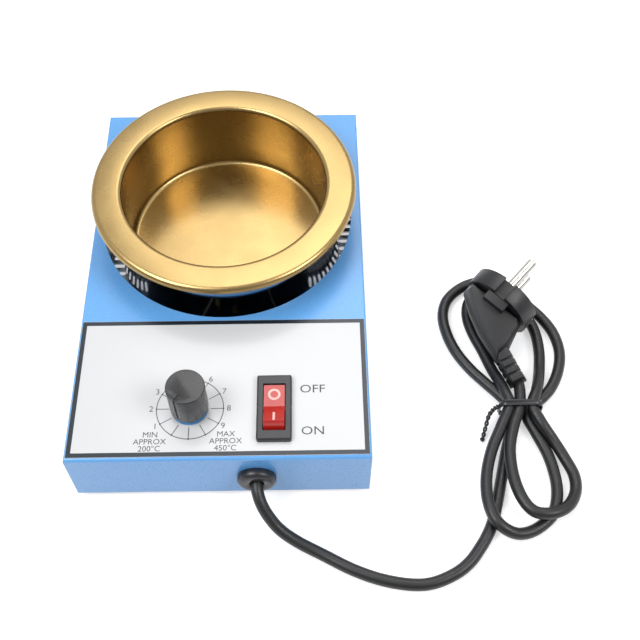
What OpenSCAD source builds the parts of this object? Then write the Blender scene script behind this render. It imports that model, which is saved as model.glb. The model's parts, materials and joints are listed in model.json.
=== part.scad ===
// Solder pot: folded steel case, control panel with dial and lit switch, gold-finished
// crucible in a polished heat shield, mains lead folded into a hank with an angled plug.
// Origin: middle of the case's footprint on the table. +Z is up, the panel's front faces -Y.

/* [Case] */
// Width of panel left beside the round opening
side_margin = 4.5; // [4:0.5:12]
// Length of panel left behind the round opening
back_margin = 7; // [6:0.5:20]
// Height of the folded cover, without the feet
case_h = 34; // [32:1:44]
// Thickness of the cover and tray sheet
sheet_t = 1; // [0.8:0.1:1.4]
// Outer radius of the bends at the front and back
bend_r = 1.5; // [1.4:0.1:2]
// Outer radius of the long side edges
side_r = 0.9; // [0.6:0.1:1.4]
// Side gap between the tray and the cover
tray_fit = 0.2; // [0.1:0.05:0.4]
// Height of the tray's side flanges
flange_h = 14; // [11:1:18]

/* [Feet and vents] */
// Height of the rubber feet under the case
foot_h = 4; // [3.6:0.2:8]
// Radius of a foot at the case
foot_r = 7.5; // [6.5:0.5:9]
// Distance of a foot's centre from the side of the case
foot_in_x = 12; // [11:1:16]
// Distance of a foot's centre from the front or back of the case
foot_in_y = 12; // [11:1:16]
// Slots in each row of the tray
vent_count = 16; // [6:1:18]
// Distance from one slot to the next
vent_pitch = 5; // [4.5:0.5:5]
// Width of a slot
vent_w = 2.6; // [2:0.2:3.4]
// Length of a slot
vent_len = 7; // [5:0.5:8]

/* [Crucible] */
// Inner diameter of the crucible
pot_d = 100; // [90:1:102]
// Depth of the crucible
pot_depth = 40.7; // [36:0.5:44]
// Thickness of the crucible's sheet
pot_t = 1; // [0.8:0.1:1.4]
// Height of the crucible's rim above the panel
rim_rise = 24.7; // [20:0.5:28]
// Width of the flat rim, from the lip to the rolled edge
rim_w = 9.9; // [8:0.1:10.4]
// Radius of the lip between the wall and the rim
lip_r = 2.3; // [1.6:0.1:3]
// Radius of the rolled outer edge of the rim
roll_r = 2.7; // [2:0.1:3.2]
// Radius between the crucible's floor and wall
floor_r = 2.5; // [1.5:0.1:4]
// Sideways place of the crucible's axis
pot_x = -0.6; // [-1:0.1:1]

/* [Heat shield] */
// Air gap between the shield and the round opening in the panel
air_gap = 6; // [4:0.5:8]
// Room for insulation between the crucible and the shield
felt_t = 5.2; // [4:0.2:8]
// Thickness of the shield's sheet
shield_t = 0.8; // [0.6:0.1:1]
// Length of the spacers under the shield
spacer_h = 5; // [4:0.5:6]
// Distance of the shield's screws from its wall
shield_screw_in = 18.2; // [12:0.2:24]
// Thickness of the heater plate
heater_t = 5; // [4:0.5:6]
// Distance of the heater plate's edge from the crucible's wall
heater_in = 4; // [2:0.5:8]
// Distance of a heater stud from the middle
stud_x = 20; // [14:1:26]
// Gap between the insulation and the metal round it
felt_gap = 0.3; // [0.2:0.1:0.6]

/* [Label] */
// Distance of the printed panel plate from the sides of the case
label_side = 0.9; // [0.9:0.1:3]
// Length of the panel plate, front to back
label_l = 70.5; // [66:0.5:80]
// Distance between the panel plate and the round opening
label_gap = 2; // [1:0.5:8]
// Distance of the plate from the front of the case
label_in = 1.5; // [1.5:0.1:3]
// Thickness of the panel plate
label_t = 0.3; // [0.2:0.1:0.6]
// Radius of the plate's hole round the potentiometer
label_hole_r = 8.2; // [7.5:0.1:8.4]

/* [Dial] */
// Sideways place of the dial
dial_x = -13.3; // [-18:0.1:-10]
// Distance of the dial from the front of the case
dial_in = 24.9; // [22:0.1:28]
// Diameter of the knob
knob_d = 17.3; // [16:0.1:20]
// Height of the knob
knob_h = 17.2; // [14:0.2:20]
// Height of the knob's lower edge above the panel
knob_gap = 3.7; // [3.3:0.1:4.4]
// Wall of the knob
knob_wall = 1.3; // [1:0.1:1.8]
// Width of the pointer groove
mark_w = 0.9; // [0.6:0.1:1.4]
// Diameter of the potentiometer's shaft
shaft_d = 6; // [5.6:0.1:6.2]
// Clearance round the shaft
shaft_fit = 0.05; // [0.03:0.01:0.08]
// Diameter of the threaded bush
bush_d = 7; // [6.8:0.1:7.6]
// Height of the bush above the panel
bush_h = 4.4; // [3.6:0.1:5]
// Diameter of the potentiometer's can
can_d = 16.5; // [15:0.5:18]
// Height of the potentiometer's can
can_h = 8; // [7:0.5:9]
// Thickness of the potentiometer's washer
washer_t = 0.5; // [0.4:0.1:0.8]
// Thickness of the potentiometer's nut
nut_t = 2; // [1.6:0.1:2.2]

/* [Switch] */
// Sideways place of the switch
switch_x = 24.5; // [20:0.1:30]
// Distance of the switch from the front of the case
switch_in = 24.1; // [22:0.1:28]
// Width of the bezel
bezel_w = 15.7; // [15:0.1:18]
// Length of the bezel
bezel_l = 32.6; // [31.4:0.2:36]
// Height of the bezel
bezel_h = 2.8; // [2.2:0.1:3.4]
// Width of the switch body
body_w = 12.6; // [12.2:0.1:13.2]
// Length of the switch body
body_l = 27.6; // [26.4:0.2:29]
// Depth of the switch body below the panel plate
body_h = 14; // [12:0.5:16]
// Length of the bezel's opening
well_l = 23.5; // [22.8:0.1:24.6]
// Width of the rocker
rocker_w = 9.4; // [8.6:0.1:9.6]
// Gap between the rocker and the bezel
rocker_gap = 0.4; // [0.3:0.05:0.5]
// Angle that the rocker tips through
rocker_tip = 22; // [16:1:24]
// Radius of the rocker's pivot pins
pivot_r = 1.2; // [0.9:0.1:1.4]
// Clearance round the pivot pins
pivot_fit = 0.05; // [0.03:0.01:0.08]
// Height of the rocker's face above the pivot
rocker_top = 3; // [2.6:0.1:3.2]

/* [Mains lead] */
// Diameter of the mains lead
cord_d = 5.6; // [5:0.1:6]
// Sideways place of the bushing
bushing_x = 16.2; // [10:0.1:30]
// Height of the bushing's axis above the table
bushing_z = 20.4; // [19:0.1:22]
// Radius of the bushing's flange
bushing_r = 8.8; // [8:0.1:10]
// Length that the bushing stands out of the case
bushing_out = 4.6; // [4:0.1:6]

/* [Plug] */
// Radius of the plug's round face
plug_r = 18.2; // [17.6:0.1:18.4]
// Thickness of the plug's round flange
plug_t = 9; // [8:0.5:10]
// Diameter of a pin
pin_d = 4.8; // [4:0.1:4.8]
// Length of the pins in front of the face
pin_l = 19; // [18:0.5:20]
// Distance between the pins
pin_gap = 19; // [18:0.5:20]

/* [Control board] */
// Width of the board
board_w = 50; // [48:1:54]
// Length of the board
board_l = 44; // [42:1:48]
// Thickness of the board
board_t = 1.6; // [1:0.2:2]
// Height of the board's posts
post_h = 5; // [4:0.5:6]

/* [Hidden] */
$fn = 48;

// Crucible, shield and the opening round them
pot_r = pot_d / 2;
shield_in = pot_r + pot_t + felt_t;
shield_r = shield_in + shield_t;
opening_r = shield_r + air_gap;

// Size and heights of the case
case_w = 2 * (opening_r + side_margin);
case_l = label_in + label_l + label_gap + 2 * opening_r + back_margin;
case_z = foot_h;
top_z = case_z + case_h;
tray_z = case_z + sheet_t;
front_y = -case_l / 2;
// Half sizes of the room inside the cover
in_x = case_w / 2 - sheet_t;
in_y = case_l / 2 - sheet_t;

// Screws: shank and head of an M3
m3_r = 1.5;
m3_head_r = 2.75;
m3_head_h = 1.7;
m3_nut_r = 3.1;
m3_nut_h = 2.4;
hole_fit = 0.1;

// Feet, as signs of x and y
foot_at = [[-1, -1], [1, -1], [-1, 1], [1, 1]];
foot_x = case_w / 2 - foot_in_x;
foot_y = case_l / 2 - foot_in_y;

// Screws of the cover
side_screw_y = foot_y - 18;
side_screw_z = tray_z + flange_h * 0.55;
sink_h = m3_head_r - m3_r;

// Crucible and shield
pot_y = case_l / 2 - back_margin - opening_r;
rim_z = top_z + rim_rise;
floor_z = rim_z - pot_depth;
pot_under = floor_z - pot_t;
rim_in = pot_r + lip_r;
rim_out = rim_in + rim_w;
shield_z = tray_z + spacer_h;
shield_screw_r = shield_in - shield_screw_in;
heater_r = pot_r - heater_in;
shield_top = rim_z - pot_t;
disc_z = shield_z + shield_t;
disc_top = pot_under - heater_t;
spacer_r = 3.5;
spacer_turn = 30;
stud_r = 1.8;

// Panel plate
label_y0 = front_y + label_in;
label_w = case_w - 2 * label_side;
plate_z = top_z + label_t;

// Dial
dial_y = front_y + dial_in;
knob_r = knob_d / 2;
knob_z = top_z + knob_gap;
knob_top = knob_z + knob_h;
shaft_r = shaft_d / 2;
bush_r = bush_d / 2;
can_z = top_z - sheet_t - can_h;
hub_r = shaft_r + 1.6;
hub_z = top_z + bush_h + 0.6;
shaft_top = knob_top - 3;
mark_turn = 240;

// Switch
switch_y = front_y + switch_in;
pivot_z = plate_z + bezel_h - rocker_top;
well_w = rocker_w + 2 * rocker_gap;
rocker_r = well_l / 2 - 0.5;
well_deep = 8.5;
cut_fit = 0.15;
lamp_r = 2;

// Mains lead
cord_r = cord_d / 2;
bushing_bore = cord_r + 0.05;
neck_r = 6.3;
mouth_r = 4.6;
cord_floor = cord_r + 0.1;
// Route of the lead from inside the bushing to the hank
cord_route = [[bushing_x, front_y + 8, bushing_z], [bushing_x, front_y - 1, bushing_z],
    [16.4, -110, 19.6], [18.2, -115.5, 16.8], [21.5, -120, 12.5], [26.5, -124.5, 8],
    [34.4, -129, 4.6], [45.6, -134.5, cord_floor], [58.5, -141.4, cord_floor],
    [71.3, -146.2, cord_floor], [84.2, -148.6, cord_floor], [94, -148, cord_floor],
    [104, -144, cord_floor], [111, -138.8, cord_floor], [116.5, -132, cord_floor],
    [120.4, -126, cord_floor], [123.4, -119.8, cord_floor]];

// Hank: middles and radii of its rounded outline, and its tie
hank_h = 11.4;
hank_floor = 0.1;
tie_at = [142.2, -63.5];
tie_r = 7.4;
tie_half = 9.8;
tie_in = 1.2;
tie_t = 0.9;
tie_w = 3;
loop_a = [121, -6];
loop_a_r = 13.6;
loop_b = [154.6, -25.5];
loop_b_r = 15.2;
loop_c = [142.2, -105];
loop_c_r = 24.2;

// Plug: place of the middle of its face and how it lies
plug_at = [140.9, -5.2, 18.6];
plug_turn = 45.2;
plug_rise = 12;
plug_lean = 6.8;
plug_half = 9.5;
neck_half = 5.6;
tail_half = 4.2;
clip_w = 6;
clip_t = 0.6;
guide_w = 6;
guide_deep = 3.4;
guide_block_w = 12;
guide_block_z = 14;

// Control board, its posts and what stands on it
board_side = 11.5;
board_front = 13.5;
board_x = board_side + board_w / 2 - in_x;
board_y = front_y + board_front + board_l / 2;
board_z = tray_z + post_h;
board_top = board_z + board_t;
post_in = 4;
post_af = 5.5;
sink_w = 22;
sink_d = 12;
sink_tall = 17;
sink_at = [board_x - 6, board_y + 11];
triac_at = [sink_at[0], sink_at[1] - sink_d / 2];
choke_at = [board_x + 11, board_y - 8];
choke_r = 8;
choke_h = 8;
cap_at = [board_x - 8, board_y - 16];
cap_w = 18;
cap_l = 8;
cap_tall = 13;

// Terminal block and earth point on the tray
block_w = 20;
block_l = 16;
block_h = 12;
block_at = [in_x - 10.5 - block_w / 2, front_y + 41.5];
earth_at = [board_x + board_w / 2 + 11, front_y + 57.5];
tag_t = 0.8;
tag_r = 4;

// Leads
lead_r = 1;
core_at = [bushing_x, front_y + 9, bushing_z];
wire_z = tray_z + 4;
blade_z = plate_z - body_h - 8;
blade_y = 9;
live_at = [switch_x, switch_y - blade_y, blade_z - 0.2];
switched_at = [switch_x, switch_y, blade_z - 0.2];
inlet_at = [block_at[0] - block_w / 4, block_at[1] - block_l / 2, wire_z];
outlet_at = [inlet_at[0], block_at[1] + block_l / 2, wire_z];
tail_at = [earth_at[0], earth_at[1] - 5, tray_z + tag_t + lead_r + 0.1];
board_in_at = [board_x + board_w / 2 - 6, board_y - 2, board_top + 0.2];
board_out_at = [board_x + board_w / 2 - 8, board_y + board_l / 2 - 2, board_top + lead_r + 0.1];
under_z = tray_z + lead_r + 1.5;

// ---- Helpers ----

// Rectangle with its top corners rounded, centred on x, standing on z0
module arch_profile(span, z0, z1, r) {
    translate([-span / 2, z0]) square([span, z1 - z0 - r]);
    translate([r - span / 2, z0]) square([span - 2 * r, z1 - z0]);
    for (s = [-1, 1]) {
        translate([s * (span / 2 - r), z1 - r]) circle(r);
    }
}

// Rectangle with four rounded corners
module plan_profile(w, l, r) {
    square([w - 2 * r, l], center = true);
    square([w, l - 2 * r], center = true);
    for (x = [-1, 1]) {
        for (y = [-1, 1]) {
            translate([x * (w / 2 - r), y * (l / 2 - r)]) circle(r);
        }
    }
}

// Profile in y and z, drawn out along x
module along_x(w) {
    translate([-w / 2, 0, 0]) rotate([90, 0, 90]) linear_extrude(height = w) children();
}

// Profile in x and z, drawn out along y
module along_y(l) {
    translate([0, l / 2, 0]) rotate([90, 0, 0]) linear_extrude(height = l) children();
}

// Box open to below, with rounded top edges
module arch_box(w, l, z0, z1, r_end, r_side) {
    intersection() {
        along_x(w) arch_profile(l, z0, z1, r_end);
        along_y(l) arch_profile(w, z0, z1, r_side);
    }
}

// Moulded block with rounded corners and a rounded top edge
module soft_block(w, l, z0, z1, r_plan, r_top) {
    intersection() {
        translate([0, 0, z0]) linear_extrude(height = z1 - z0) plan_profile(w, l, r_plan);
        arch_box(w, l, z0, z1, r_top, r_top);
    }
}

// Slot with round ends
module slot(len, w, h) {
    linear_extrude(height = h) {
        square([len - w, w], center = true);
        for (s = [-1, 1]) {
            translate([s * (len - w) / 2, 0]) circle(w / 2);
        }
    }
}

// Plain tube
module pipe(r_out, r_in, h) {
    difference() {
        cylinder(r = r_out, h = h);
        translate([0, 0, -1]) cylinder(r = r_in, h = h + 2);
    }
}

// Pan-head screw, head below z = 0, shank upward
module pan_screw(len) {
    rotate([180, 0, 0]) cylinder(r1 = m3_head_r, r2 = m3_head_r * 0.8, h = m3_head_h);
    cylinder(r = m3_r, h = len);
}

// Hexagon nut on its flat face
module hex_nut(r_corner, r_in, h) {
    difference() {
        cylinder(r = r_corner, h = h, $fn = 6);
        translate([0, 0, -1]) cylinder(r = r_in, h = h + 2);
    }
}

function unit(v) = v / norm(v);

function between(a, b, share) = a + (b - a) * share;

// Point between two others, from above, at a height of its own
function along(a, b, share, z) = [a[0] + (b[0] - a[0]) * share, a[1] + (b[1] - a[1]) * share, z];

// Point on a smooth curve through p1 and p2
function spline(p0, p1, p2, p3, t) =
    0.5 * (2 * p1 + (p2 - p0) * t + (2 * p0 - 5 * p1 + 4 * p2 - p3) * t * t
    + (3 * p1 - p0 - 3 * p2 + p3) * t * t * t);

function smooth(p, n) = [
    for (i = [0 : len(p) - 2])
        for (j = [0 : n - 1])
            spline(p[max(i - 1, 0)], p[i], p[i + 1], p[min(i + 2, len(p) - 1)], j / n),
    p[len(p) - 1]];

// Direction of a path at each of its points
function headings(p) = [for (i = [0 : len(p) - 1])
    unit(p[min(i + 1, len(p) - 1)] - p[max(i - 1, 0)])];

// Side direction carried along a path without twist
function carried(t) = [
    for (i = 0, n = unit(cross(t[0], [0.3, 0.2, 1])); i < len(t);
        i = i + 1, n = i < len(t) ? unit(n - (n * t[i]) * t[i]) : n) n];

// Round tube swept along a path
module swept(path, r, sides) {
    t = headings(path);
    n = carried(t);
    count = len(path);
    rings = [for (i = [0 : count - 1]) for (k = [0 : sides - 1])
        path[i] + r * (cos(360 * k / sides) * n[i] + sin(360 * k / sides) * cross(t[i], n[i]))];
    walls = [for (i = [0 : count - 2]) for (k = [0 : sides - 1])
        let (m = (k + 1) % sides)
        [i * sides + k, (i + 1) * sides + k, (i + 1) * sides + m, i * sides + m]];
    first = [for (k = [0 : sides - 1]) k];
    last = [for (k = [sides - 1 : -1 : 0]) (count - 1) * sides + k];
    polyhedron(points = rings, faces = concat(walls, [first], [last]), convexity = 8);
}

// Places
module at_pot() {
    translate([pot_x, pot_y, 0]) children();
}

module at_dial() {
    translate([dial_x, dial_y, 0]) children();
}

module at_switch() {
    translate([switch_x, switch_y, 0]) children();
}

module at_plug() {
    translate(plug_at) rotate([0, 0, plug_turn]) rotate([0, -plug_rise, 0])
        rotate([plug_lean, 0, 0]) children();
}

module at_shield_screws() {
    for (i = [0 : 2]) {
        at_pot() rotate([0, 0, spacer_turn + 120 * i]) translate([shield_screw_r, 0, 0]) children();
    }
}

module at_board() {
    translate([board_x, board_y, 0]) children();
}

function post_place(i) = [
    board_x + foot_at[i][0] * (board_w / 2 - post_in),
    board_y + foot_at[i][1] * (board_l / 2 - post_in), 0];

// ---- Case ----

module case_cover() color("#4f8fd6") {
    difference() {
        arch_box(case_w, case_l, case_z, top_z, bend_r, side_r);
        arch_box(2 * in_x, 2 * in_y, case_z - 1, top_z - sheet_t, bend_r - sheet_t + 0.1,
            max(side_r - sheet_t, 0) + 0.2);
        at_pot() translate([0, 0, top_z - sheet_t - 1]) cylinder(r = opening_r, h = sheet_t + 2);
        at_dial() translate([0, 0, top_z - sheet_t - 1]) {
            cylinder(r = bush_r + hole_fit, h = sheet_t + 2);
        }
        at_switch() translate([0, 0, top_z - sheet_t / 2]) {
            cube([body_w + 2 * cut_fit, body_l + 2 * cut_fit, sheet_t + 2], center = true);
        }
        translate([bushing_x, front_y - 1, bushing_z]) rotate([-90, 0, 0]) {
            cylinder(r = neck_r + hole_fit, h = sheet_t + 2);
        }
        for (x = [-1, 1]) {
            for (y = [-1, 1]) {
                translate([x * case_w / 2, y * side_screw_y, side_screw_z]) {
                    rotate([0, -90 * x, 0]) {
                        cylinder(r1 = m3_head_r, r2 = m3_r, h = sink_h);
                        cylinder(r = m3_r + hole_fit, h = sheet_t + 2);
                    }
                }
            }
        }
    }
}

module base_plate() color("#8d949c") {
    tray_x = in_x - tray_fit;
    tray_y = in_y - tray_fit;
    difference() {
        rotate([180, 0, 0]) {
            arch_box(2 * tray_x, 2 * tray_y, -tray_z - flange_h, -case_z, 0.1, bend_r);
        }
        rotate([180, 0, 0]) along_y(2 * tray_y + 2) {
            arch_profile(2 * (tray_x - sheet_t), -tray_z - flange_h - 1, -tray_z,
                bend_r - sheet_t + 0.1);
        }
        for (i = [0 : 3]) {
            translate([foot_at[i][0] * foot_x, foot_at[i][1] * foot_y, case_z - 1]) {
                cylinder(r = m3_r + hole_fit, h = sheet_t + 2);
            }
            translate(post_place(i) + [0, 0, case_z - 1]) cylinder(r = m3_r + hole_fit, h = sheet_t + 2);
        }
        at_shield_screws() translate([0, 0, case_z - 1]) {
            cylinder(r = m3_r + hole_fit, h = sheet_t + 2);
        }
        translate([earth_at[0], earth_at[1], case_z - 1]) {
            cylinder(r = m3_r + hole_fit, h = sheet_t + 2);
        }
        for (x = [-1, 1]) {
            for (y = [-1, 1]) {
                translate([x * case_w / 2, y * side_screw_y, side_screw_z]) rotate([0, -90 * x, 0]) {
                    cylinder(r = m3_r + hole_fit, h = sheet_t * 2 + 3);
                }
            }
            for (k = [0 : vent_count - 1]) {
                translate([x * (tray_x - 2.5 - vent_len / 2),
                    pot_y + (k - (vent_count - 1) / 2) * vent_pitch, case_z - 1]) {
                    slot(vent_len, vent_w, sheet_t + 2);
                }
            }
        }
    }
}

module foot(i) color("#1f1f21") {
    translate([foot_at[i][0] * foot_x, foot_at[i][1] * foot_y, 0]) {
        difference() {
            cylinder(r1 = foot_r - 0.8, r2 = foot_r, h = foot_h);
            translate([0, 0, -1]) cylinder(r = m3_head_r + 0.4, h = 1 + foot_h - 1.2);
            cylinder(r = m3_r + hole_fit, h = foot_h + 1);
        }
    }
}

module foot_screws() color("#c9ccd0") {
    for (i = [0 : 3]) {
        translate([foot_at[i][0] * foot_x, foot_at[i][1] * foot_y, 0]) {
            translate([0, 0, foot_h - 1.2]) pan_screw(1.2 + sheet_t + m3_nut_h + 0.8);
            translate([0, 0, tray_z]) cylinder(r = m3_nut_r, h = m3_nut_h, $fn = 6);
        }
    }
}

module cover_screws() color("#c9ccd0") {
    for (x = [-1, 1]) {
        for (y = [-1, 1]) {
            translate([x * case_w / 2, y * side_screw_y, side_screw_z]) rotate([0, -90 * x, 0]) {
                difference() {
                    cylinder(r1 = m3_head_r, r2 = m3_r, h = sink_h);
                    for (a = [0, 90]) {
                        rotate([0, 0, a]) cube([3, 0.6, 1.4], center = true);
                    }
                }
                translate([0, 0, sink_h]) cylinder(r = m3_r, h = 5);
            }
        }
    }
}

module label_plate() color("#d9dadc") {
    difference() {
        translate([-label_w / 2, label_y0, top_z]) cube([label_w, label_l, label_t]);
        at_dial() translate([0, 0, top_z - 1]) cylinder(r = label_hole_r, h = label_t + 2);
        at_switch() translate([0, 0, top_z]) {
            cube([body_w + 2 * cut_fit, body_l + 2 * cut_fit, 4 * label_t + 2], center = true);
        }
    }
}

// ---- Crucible and what holds and heats it ----

// Quarter of a bent sheet round a middle, turned to its quadrant
module bend_profile(r_out, t, turn) {
    rotate(turn) intersection() {
        difference() {
            circle(r_out);
            circle(r_out - t);
        }
        square(r_out + 1);
    }
}

module crucible_profile() {
    translate([0, pot_under]) square([pot_r - floor_r, pot_t]);
    translate([pot_r - floor_r, floor_z + floor_r]) {
        bend_profile(floor_r + pot_t, pot_t, -90);
    }
    translate([pot_r, floor_z + floor_r]) square([pot_t, rim_z - lip_r - floor_z - floor_r]);
    translate([rim_in, rim_z - lip_r]) bend_profile(lip_r, pot_t, 90);
    translate([rim_in, rim_z - pot_t]) square([rim_w, pot_t]);
    translate([rim_out, rim_z - roll_r]) bend_profile(roll_r, pot_t, 0);
}

module crucible() color("#b8975a") {
    at_pot() rotate_extrude($fn = 96) crucible_profile();
}

module heat_shield() color("#c7cbd1") {
    difference() {
        at_pot() translate([0, 0, shield_z]) difference() {
            cylinder(r = shield_r, h = shield_top - shield_z, $fn = 96);
            translate([0, 0, shield_t]) cylinder(r = shield_in, h = shield_top - shield_z, $fn = 96);
            for (s = [-1, 1]) {
                translate([s * stud_x, 0, -1]) cylinder(r = stud_r + 1.2, h = shield_t + 2);
            }
        }
        at_shield_screws() translate([0, 0, shield_z - 1]) {
            cylinder(r = m3_r + hole_fit, h = shield_t + 2);
        }
    }
}

module shield_spacer(i) color("#b9bdc2") {
    at_pot() rotate([0, 0, spacer_turn + 120 * i]) translate([shield_screw_r, 0, tray_z]) {
        pipe(spacer_r, m3_r + hole_fit, spacer_h);
    }
}

module shield_screws() color("#c9ccd0") {
    at_shield_screws() {
        translate([0, 0, case_z]) pan_screw(disc_z - case_z + m3_nut_h);
        translate([0, 0, disc_z]) cylinder(r = m3_nut_r, h = m3_nut_h, $fn = 6);
    }
}

module heater_plate() color("#8c8f94") {
    at_pot() translate([0, 0, disc_top]) {
        difference() {
            cylinder(r = heater_r, h = heater_t);
            for (s = [-1, 1]) {
                translate([s * stud_x, 0, -1]) cylinder(r = stud_r + 0.05, h = heater_t);
            }
        }
    }
}

module heater_studs() color("#b9bdc2") {
    for (s = [-1, 1]) {
        at_pot() translate([s * stud_x, 0, 0]) {
            translate([0, 0, under_z - 1.1]) cylinder(r = stud_r, h = disc_top + heater_t - 0.1 - under_z);
        }
    }
}

module insulation_ring() color("#e4e0d4") {
    at_pot() translate([0, 0, disc_top + felt_gap]) {
        pipe(shield_in - felt_gap, pot_r + pot_t + felt_gap,
            rim_z - lip_r - disc_top - 2 * felt_gap - 1);
    }
}

module insulation_disc() color("#e4e0d4") {
    difference() {
        at_pot() translate([0, 0, disc_z]) difference() {
            cylinder(r = shield_in - felt_gap, h = disc_top - disc_z);
            for (s = [-1, 1]) {
                translate([s * stud_x, 0, -1]) cylinder(r = stud_r + 0.4, h = disc_top - disc_z + 2);
            }
        }
        at_shield_screws() translate([0, 0, disc_z - 1]) {
            cylinder(r = m3_nut_r + 0.4, h = m3_nut_h + 1.4);
        }
    }
}

// ---- Control board ----

module control_board() color("#3f7a4a") {
    difference() {
        translate([board_x - board_w / 2, board_y - board_l / 2, board_z]) {
            cube([board_w, board_l, board_t]);
        }
        for (i = [0 : 3]) {
            translate(post_place(i) + [0, 0, board_z - 1]) cylinder(r = m3_r + hole_fit, h = board_t + 2);
        }
    }
}

module board_post(i) color("#c8a44d") {
    translate(post_place(i) + [0, 0, tray_z]) hex_nut(post_af / sqrt(3), m3_r, post_h);
}

module board_screws() color("#c9ccd0") {
    for (i = [0 : 3]) {
        translate(post_place(i) + [0, 0, board_top]) rotate([180, 0, 0]) pan_screw(board_t + 3);
    }
}

module heatsink() color("#a9adb3") {
    translate([sink_at[0], sink_at[1], board_top]) {
        translate([-sink_w / 2, -sink_d / 2, 0]) cube([sink_w, 2, sink_tall]);
        for (k = [0 : 5]) {
            translate([-sink_w / 2 + k * (sink_w - 1.4) / 5, -sink_d / 2, 0]) {
                cube([1.4, sink_d, sink_tall]);
            }
        }
    }
}

module triac() color("#232325") {
    translate([triac_at[0], triac_at[1], board_top]) {
        difference() {
            translate([-5, -1.3, 4]) cube([10, 1.3, 13]);
            translate([0, 1, 14.6]) rotate([90, 0, 0]) cylinder(r = 1.8, h = 4);
        }
        translate([-5, -4.4, 4]) cube([10, 3.1, 9]);
        for (k = [-1 : 1]) {
            translate([k * 2.54 - 0.4, -3, 0]) cube([0.8, 0.5, 4]);
        }
    }
}

module choke() color("#b5652f") {
    translate([choke_at[0], choke_at[1], board_top + choke_h / 2]) rotate_extrude() {
        translate([choke_r / 2 + 1.2, 0]) plan_profile(choke_r - 2.4, choke_h, 1.5);
    }
}

module capacitor() color("#c9a227") {
    translate([cap_at[0], cap_at[1], 0]) {
        soft_block(cap_w, cap_l, board_top, board_top + cap_tall, 1, 1);
    }
}

module terminal_block() color("#e6e4dc") {
    translate([block_at[0], block_at[1], 0]) difference() {
        soft_block(block_w, block_l, tray_z, tray_z + block_h, 1, 1);
        for (s = [-1, 1]) {
            translate([s * block_w / 4, 0, tray_z + block_h - 5]) cylinder(r = 2.4, h = 6);
            translate([s * block_w / 4, block_l / 2 + 1, tray_z + 4]) rotate([90, 0, 0]) {
                cylinder(r = 1.6, h = block_l + 2);
            }
        }
    }
}

// ---- Dial ----

module potentiometer_body() color("#9a9da2") {
    at_dial() difference() {
        union() {
            translate([0, 0, can_z]) cylinder(r = can_d / 2, h = can_h);
            translate([0, 0, can_z]) cylinder(r = bush_r, h = can_h + sheet_t + bush_h);
            for (k = [-1 : 1]) {
                translate([k * 5 - 1, can_d / 2 - 1.5, can_z + 1]) cube([2, 6, 0.8]);
            }
        }
        translate([0, 0, can_z + 1.5]) cylinder(r = shaft_r + shaft_fit, h = can_h + sheet_t + bush_h);
    }
}

module potentiometer_shaft() color("#c9ccd0") {
    at_dial() difference() {
        translate([0, 0, can_z + 1.7]) cylinder(r = shaft_r, h = shaft_top - can_z - 1.7);
        rotate([0, 0, mark_turn]) translate([shaft_r - 1, -shaft_r - 1, hub_z]) {
            cube([shaft_r, 2 * shaft_r + 2, knob_h]);
        }
    }
}

module potentiometer_washer() color("#b9bdc2") {
    at_dial() translate([0, 0, top_z]) pipe(bush_r + 2.6, bush_r + hole_fit, washer_t);
}

module potentiometer_nut() color("#3a3b3e") {
    at_dial() translate([0, 0, top_z + washer_t]) hex_nut(10 / sqrt(3), bush_r + shaft_fit, nut_t);
}

module knob() color("#26262a") {
    at_dial() rotate([0, 0, mark_turn]) difference() {
        union() {
            difference() {
                translate([0, 0, knob_z]) rotate_extrude($fn = 96) intersection() {
                    arch_profile(knob_d, 0, knob_h, 0.5);
                    square([knob_r, knob_h]);
                }
                translate([0, 0, knob_z - 1]) cylinder(r = knob_r - knob_wall, h = knob_h - 0.8);
            }
            translate([0, 0, hub_z]) cylinder(r = hub_r, h = knob_top - 1.5 - hub_z);
            for (a = [0 : 90 : 270]) {
                rotate([0, 0, a + 45]) translate([hub_r - 0.3, -0.6, hub_z]) {
                    cube([knob_r - knob_wall - hub_r + 0.6, 1.2, knob_top - 1.5 - hub_z]);
                }
            }
        }
        difference() {
            translate([0, 0, hub_z - 1]) cylinder(r = shaft_r + shaft_fit, h = shaft_top + 0.2 - hub_z + 1);
            translate([shaft_r - 1 + shaft_fit, -shaft_r - 1, hub_z]) {
                cube([shaft_r, 2 * shaft_r + 2, knob_h]);
            }
        }
        translate([knob_r * 0.55, -mark_w / 2, knob_top - 0.6]) cube([knob_r, mark_w, 1]);
        translate([knob_r - 0.4, -mark_w / 2, knob_z + 1.5]) cube([1, mark_w, knob_h]);
    }
}

// ---- Switch ----

module switch_housing() color("#26262a") {
    at_switch() difference() {
        union() {
            soft_block(bezel_w, bezel_l, plate_z, plate_z + bezel_h, 1.2, 0.8);
            translate([0, 0, plate_z - body_h / 2 + 0.05]) {
                cube([body_w, body_l, body_h + 0.1], center = true);
            }
            for (s = [0, 180]) {
                rotate([0, 0, s]) translate([0, body_l / 2, 0]) along_x(6) {
                    polygon([[-0.1, top_z - sheet_t - 0.1], [0.7, top_z - sheet_t - 0.4],
                        [-0.1, top_z - sheet_t - 5]]);
                }
            }
        }
        translate([0, 0, pivot_z + 5]) {
            cube([well_w, well_l, 2 * (5 + well_deep) - 10 + 10], center = true);
        }
        translate([0, 0, pivot_z]) rotate([0, 90, 0]) {
            cylinder(r = pivot_r + pivot_fit, h = 2 * (well_w / 2 + 0.9), center = true);
        }
        for (s = [-1, 1]) {
            translate([s * bezel_w / 2, 0, plate_z + bezel_h]) {
                cube([1.2, 2.4, 1.6], center = true);
            }
        }
    }
}

module rocker_profile() {
    intersection() {
        circle(rocker_r, $fn = 96);
        polygon([[0, rocker_top], [rocker_r + 1, rocker_top], [rocker_r + 1, -2],
            [4.5, -6], [-4.5, -6], [-rocker_r - 1, -2],
            [-rocker_r - 1, rocker_top + (rocker_r + 1) * tan(rocker_tip)]]);
    }
}

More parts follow.
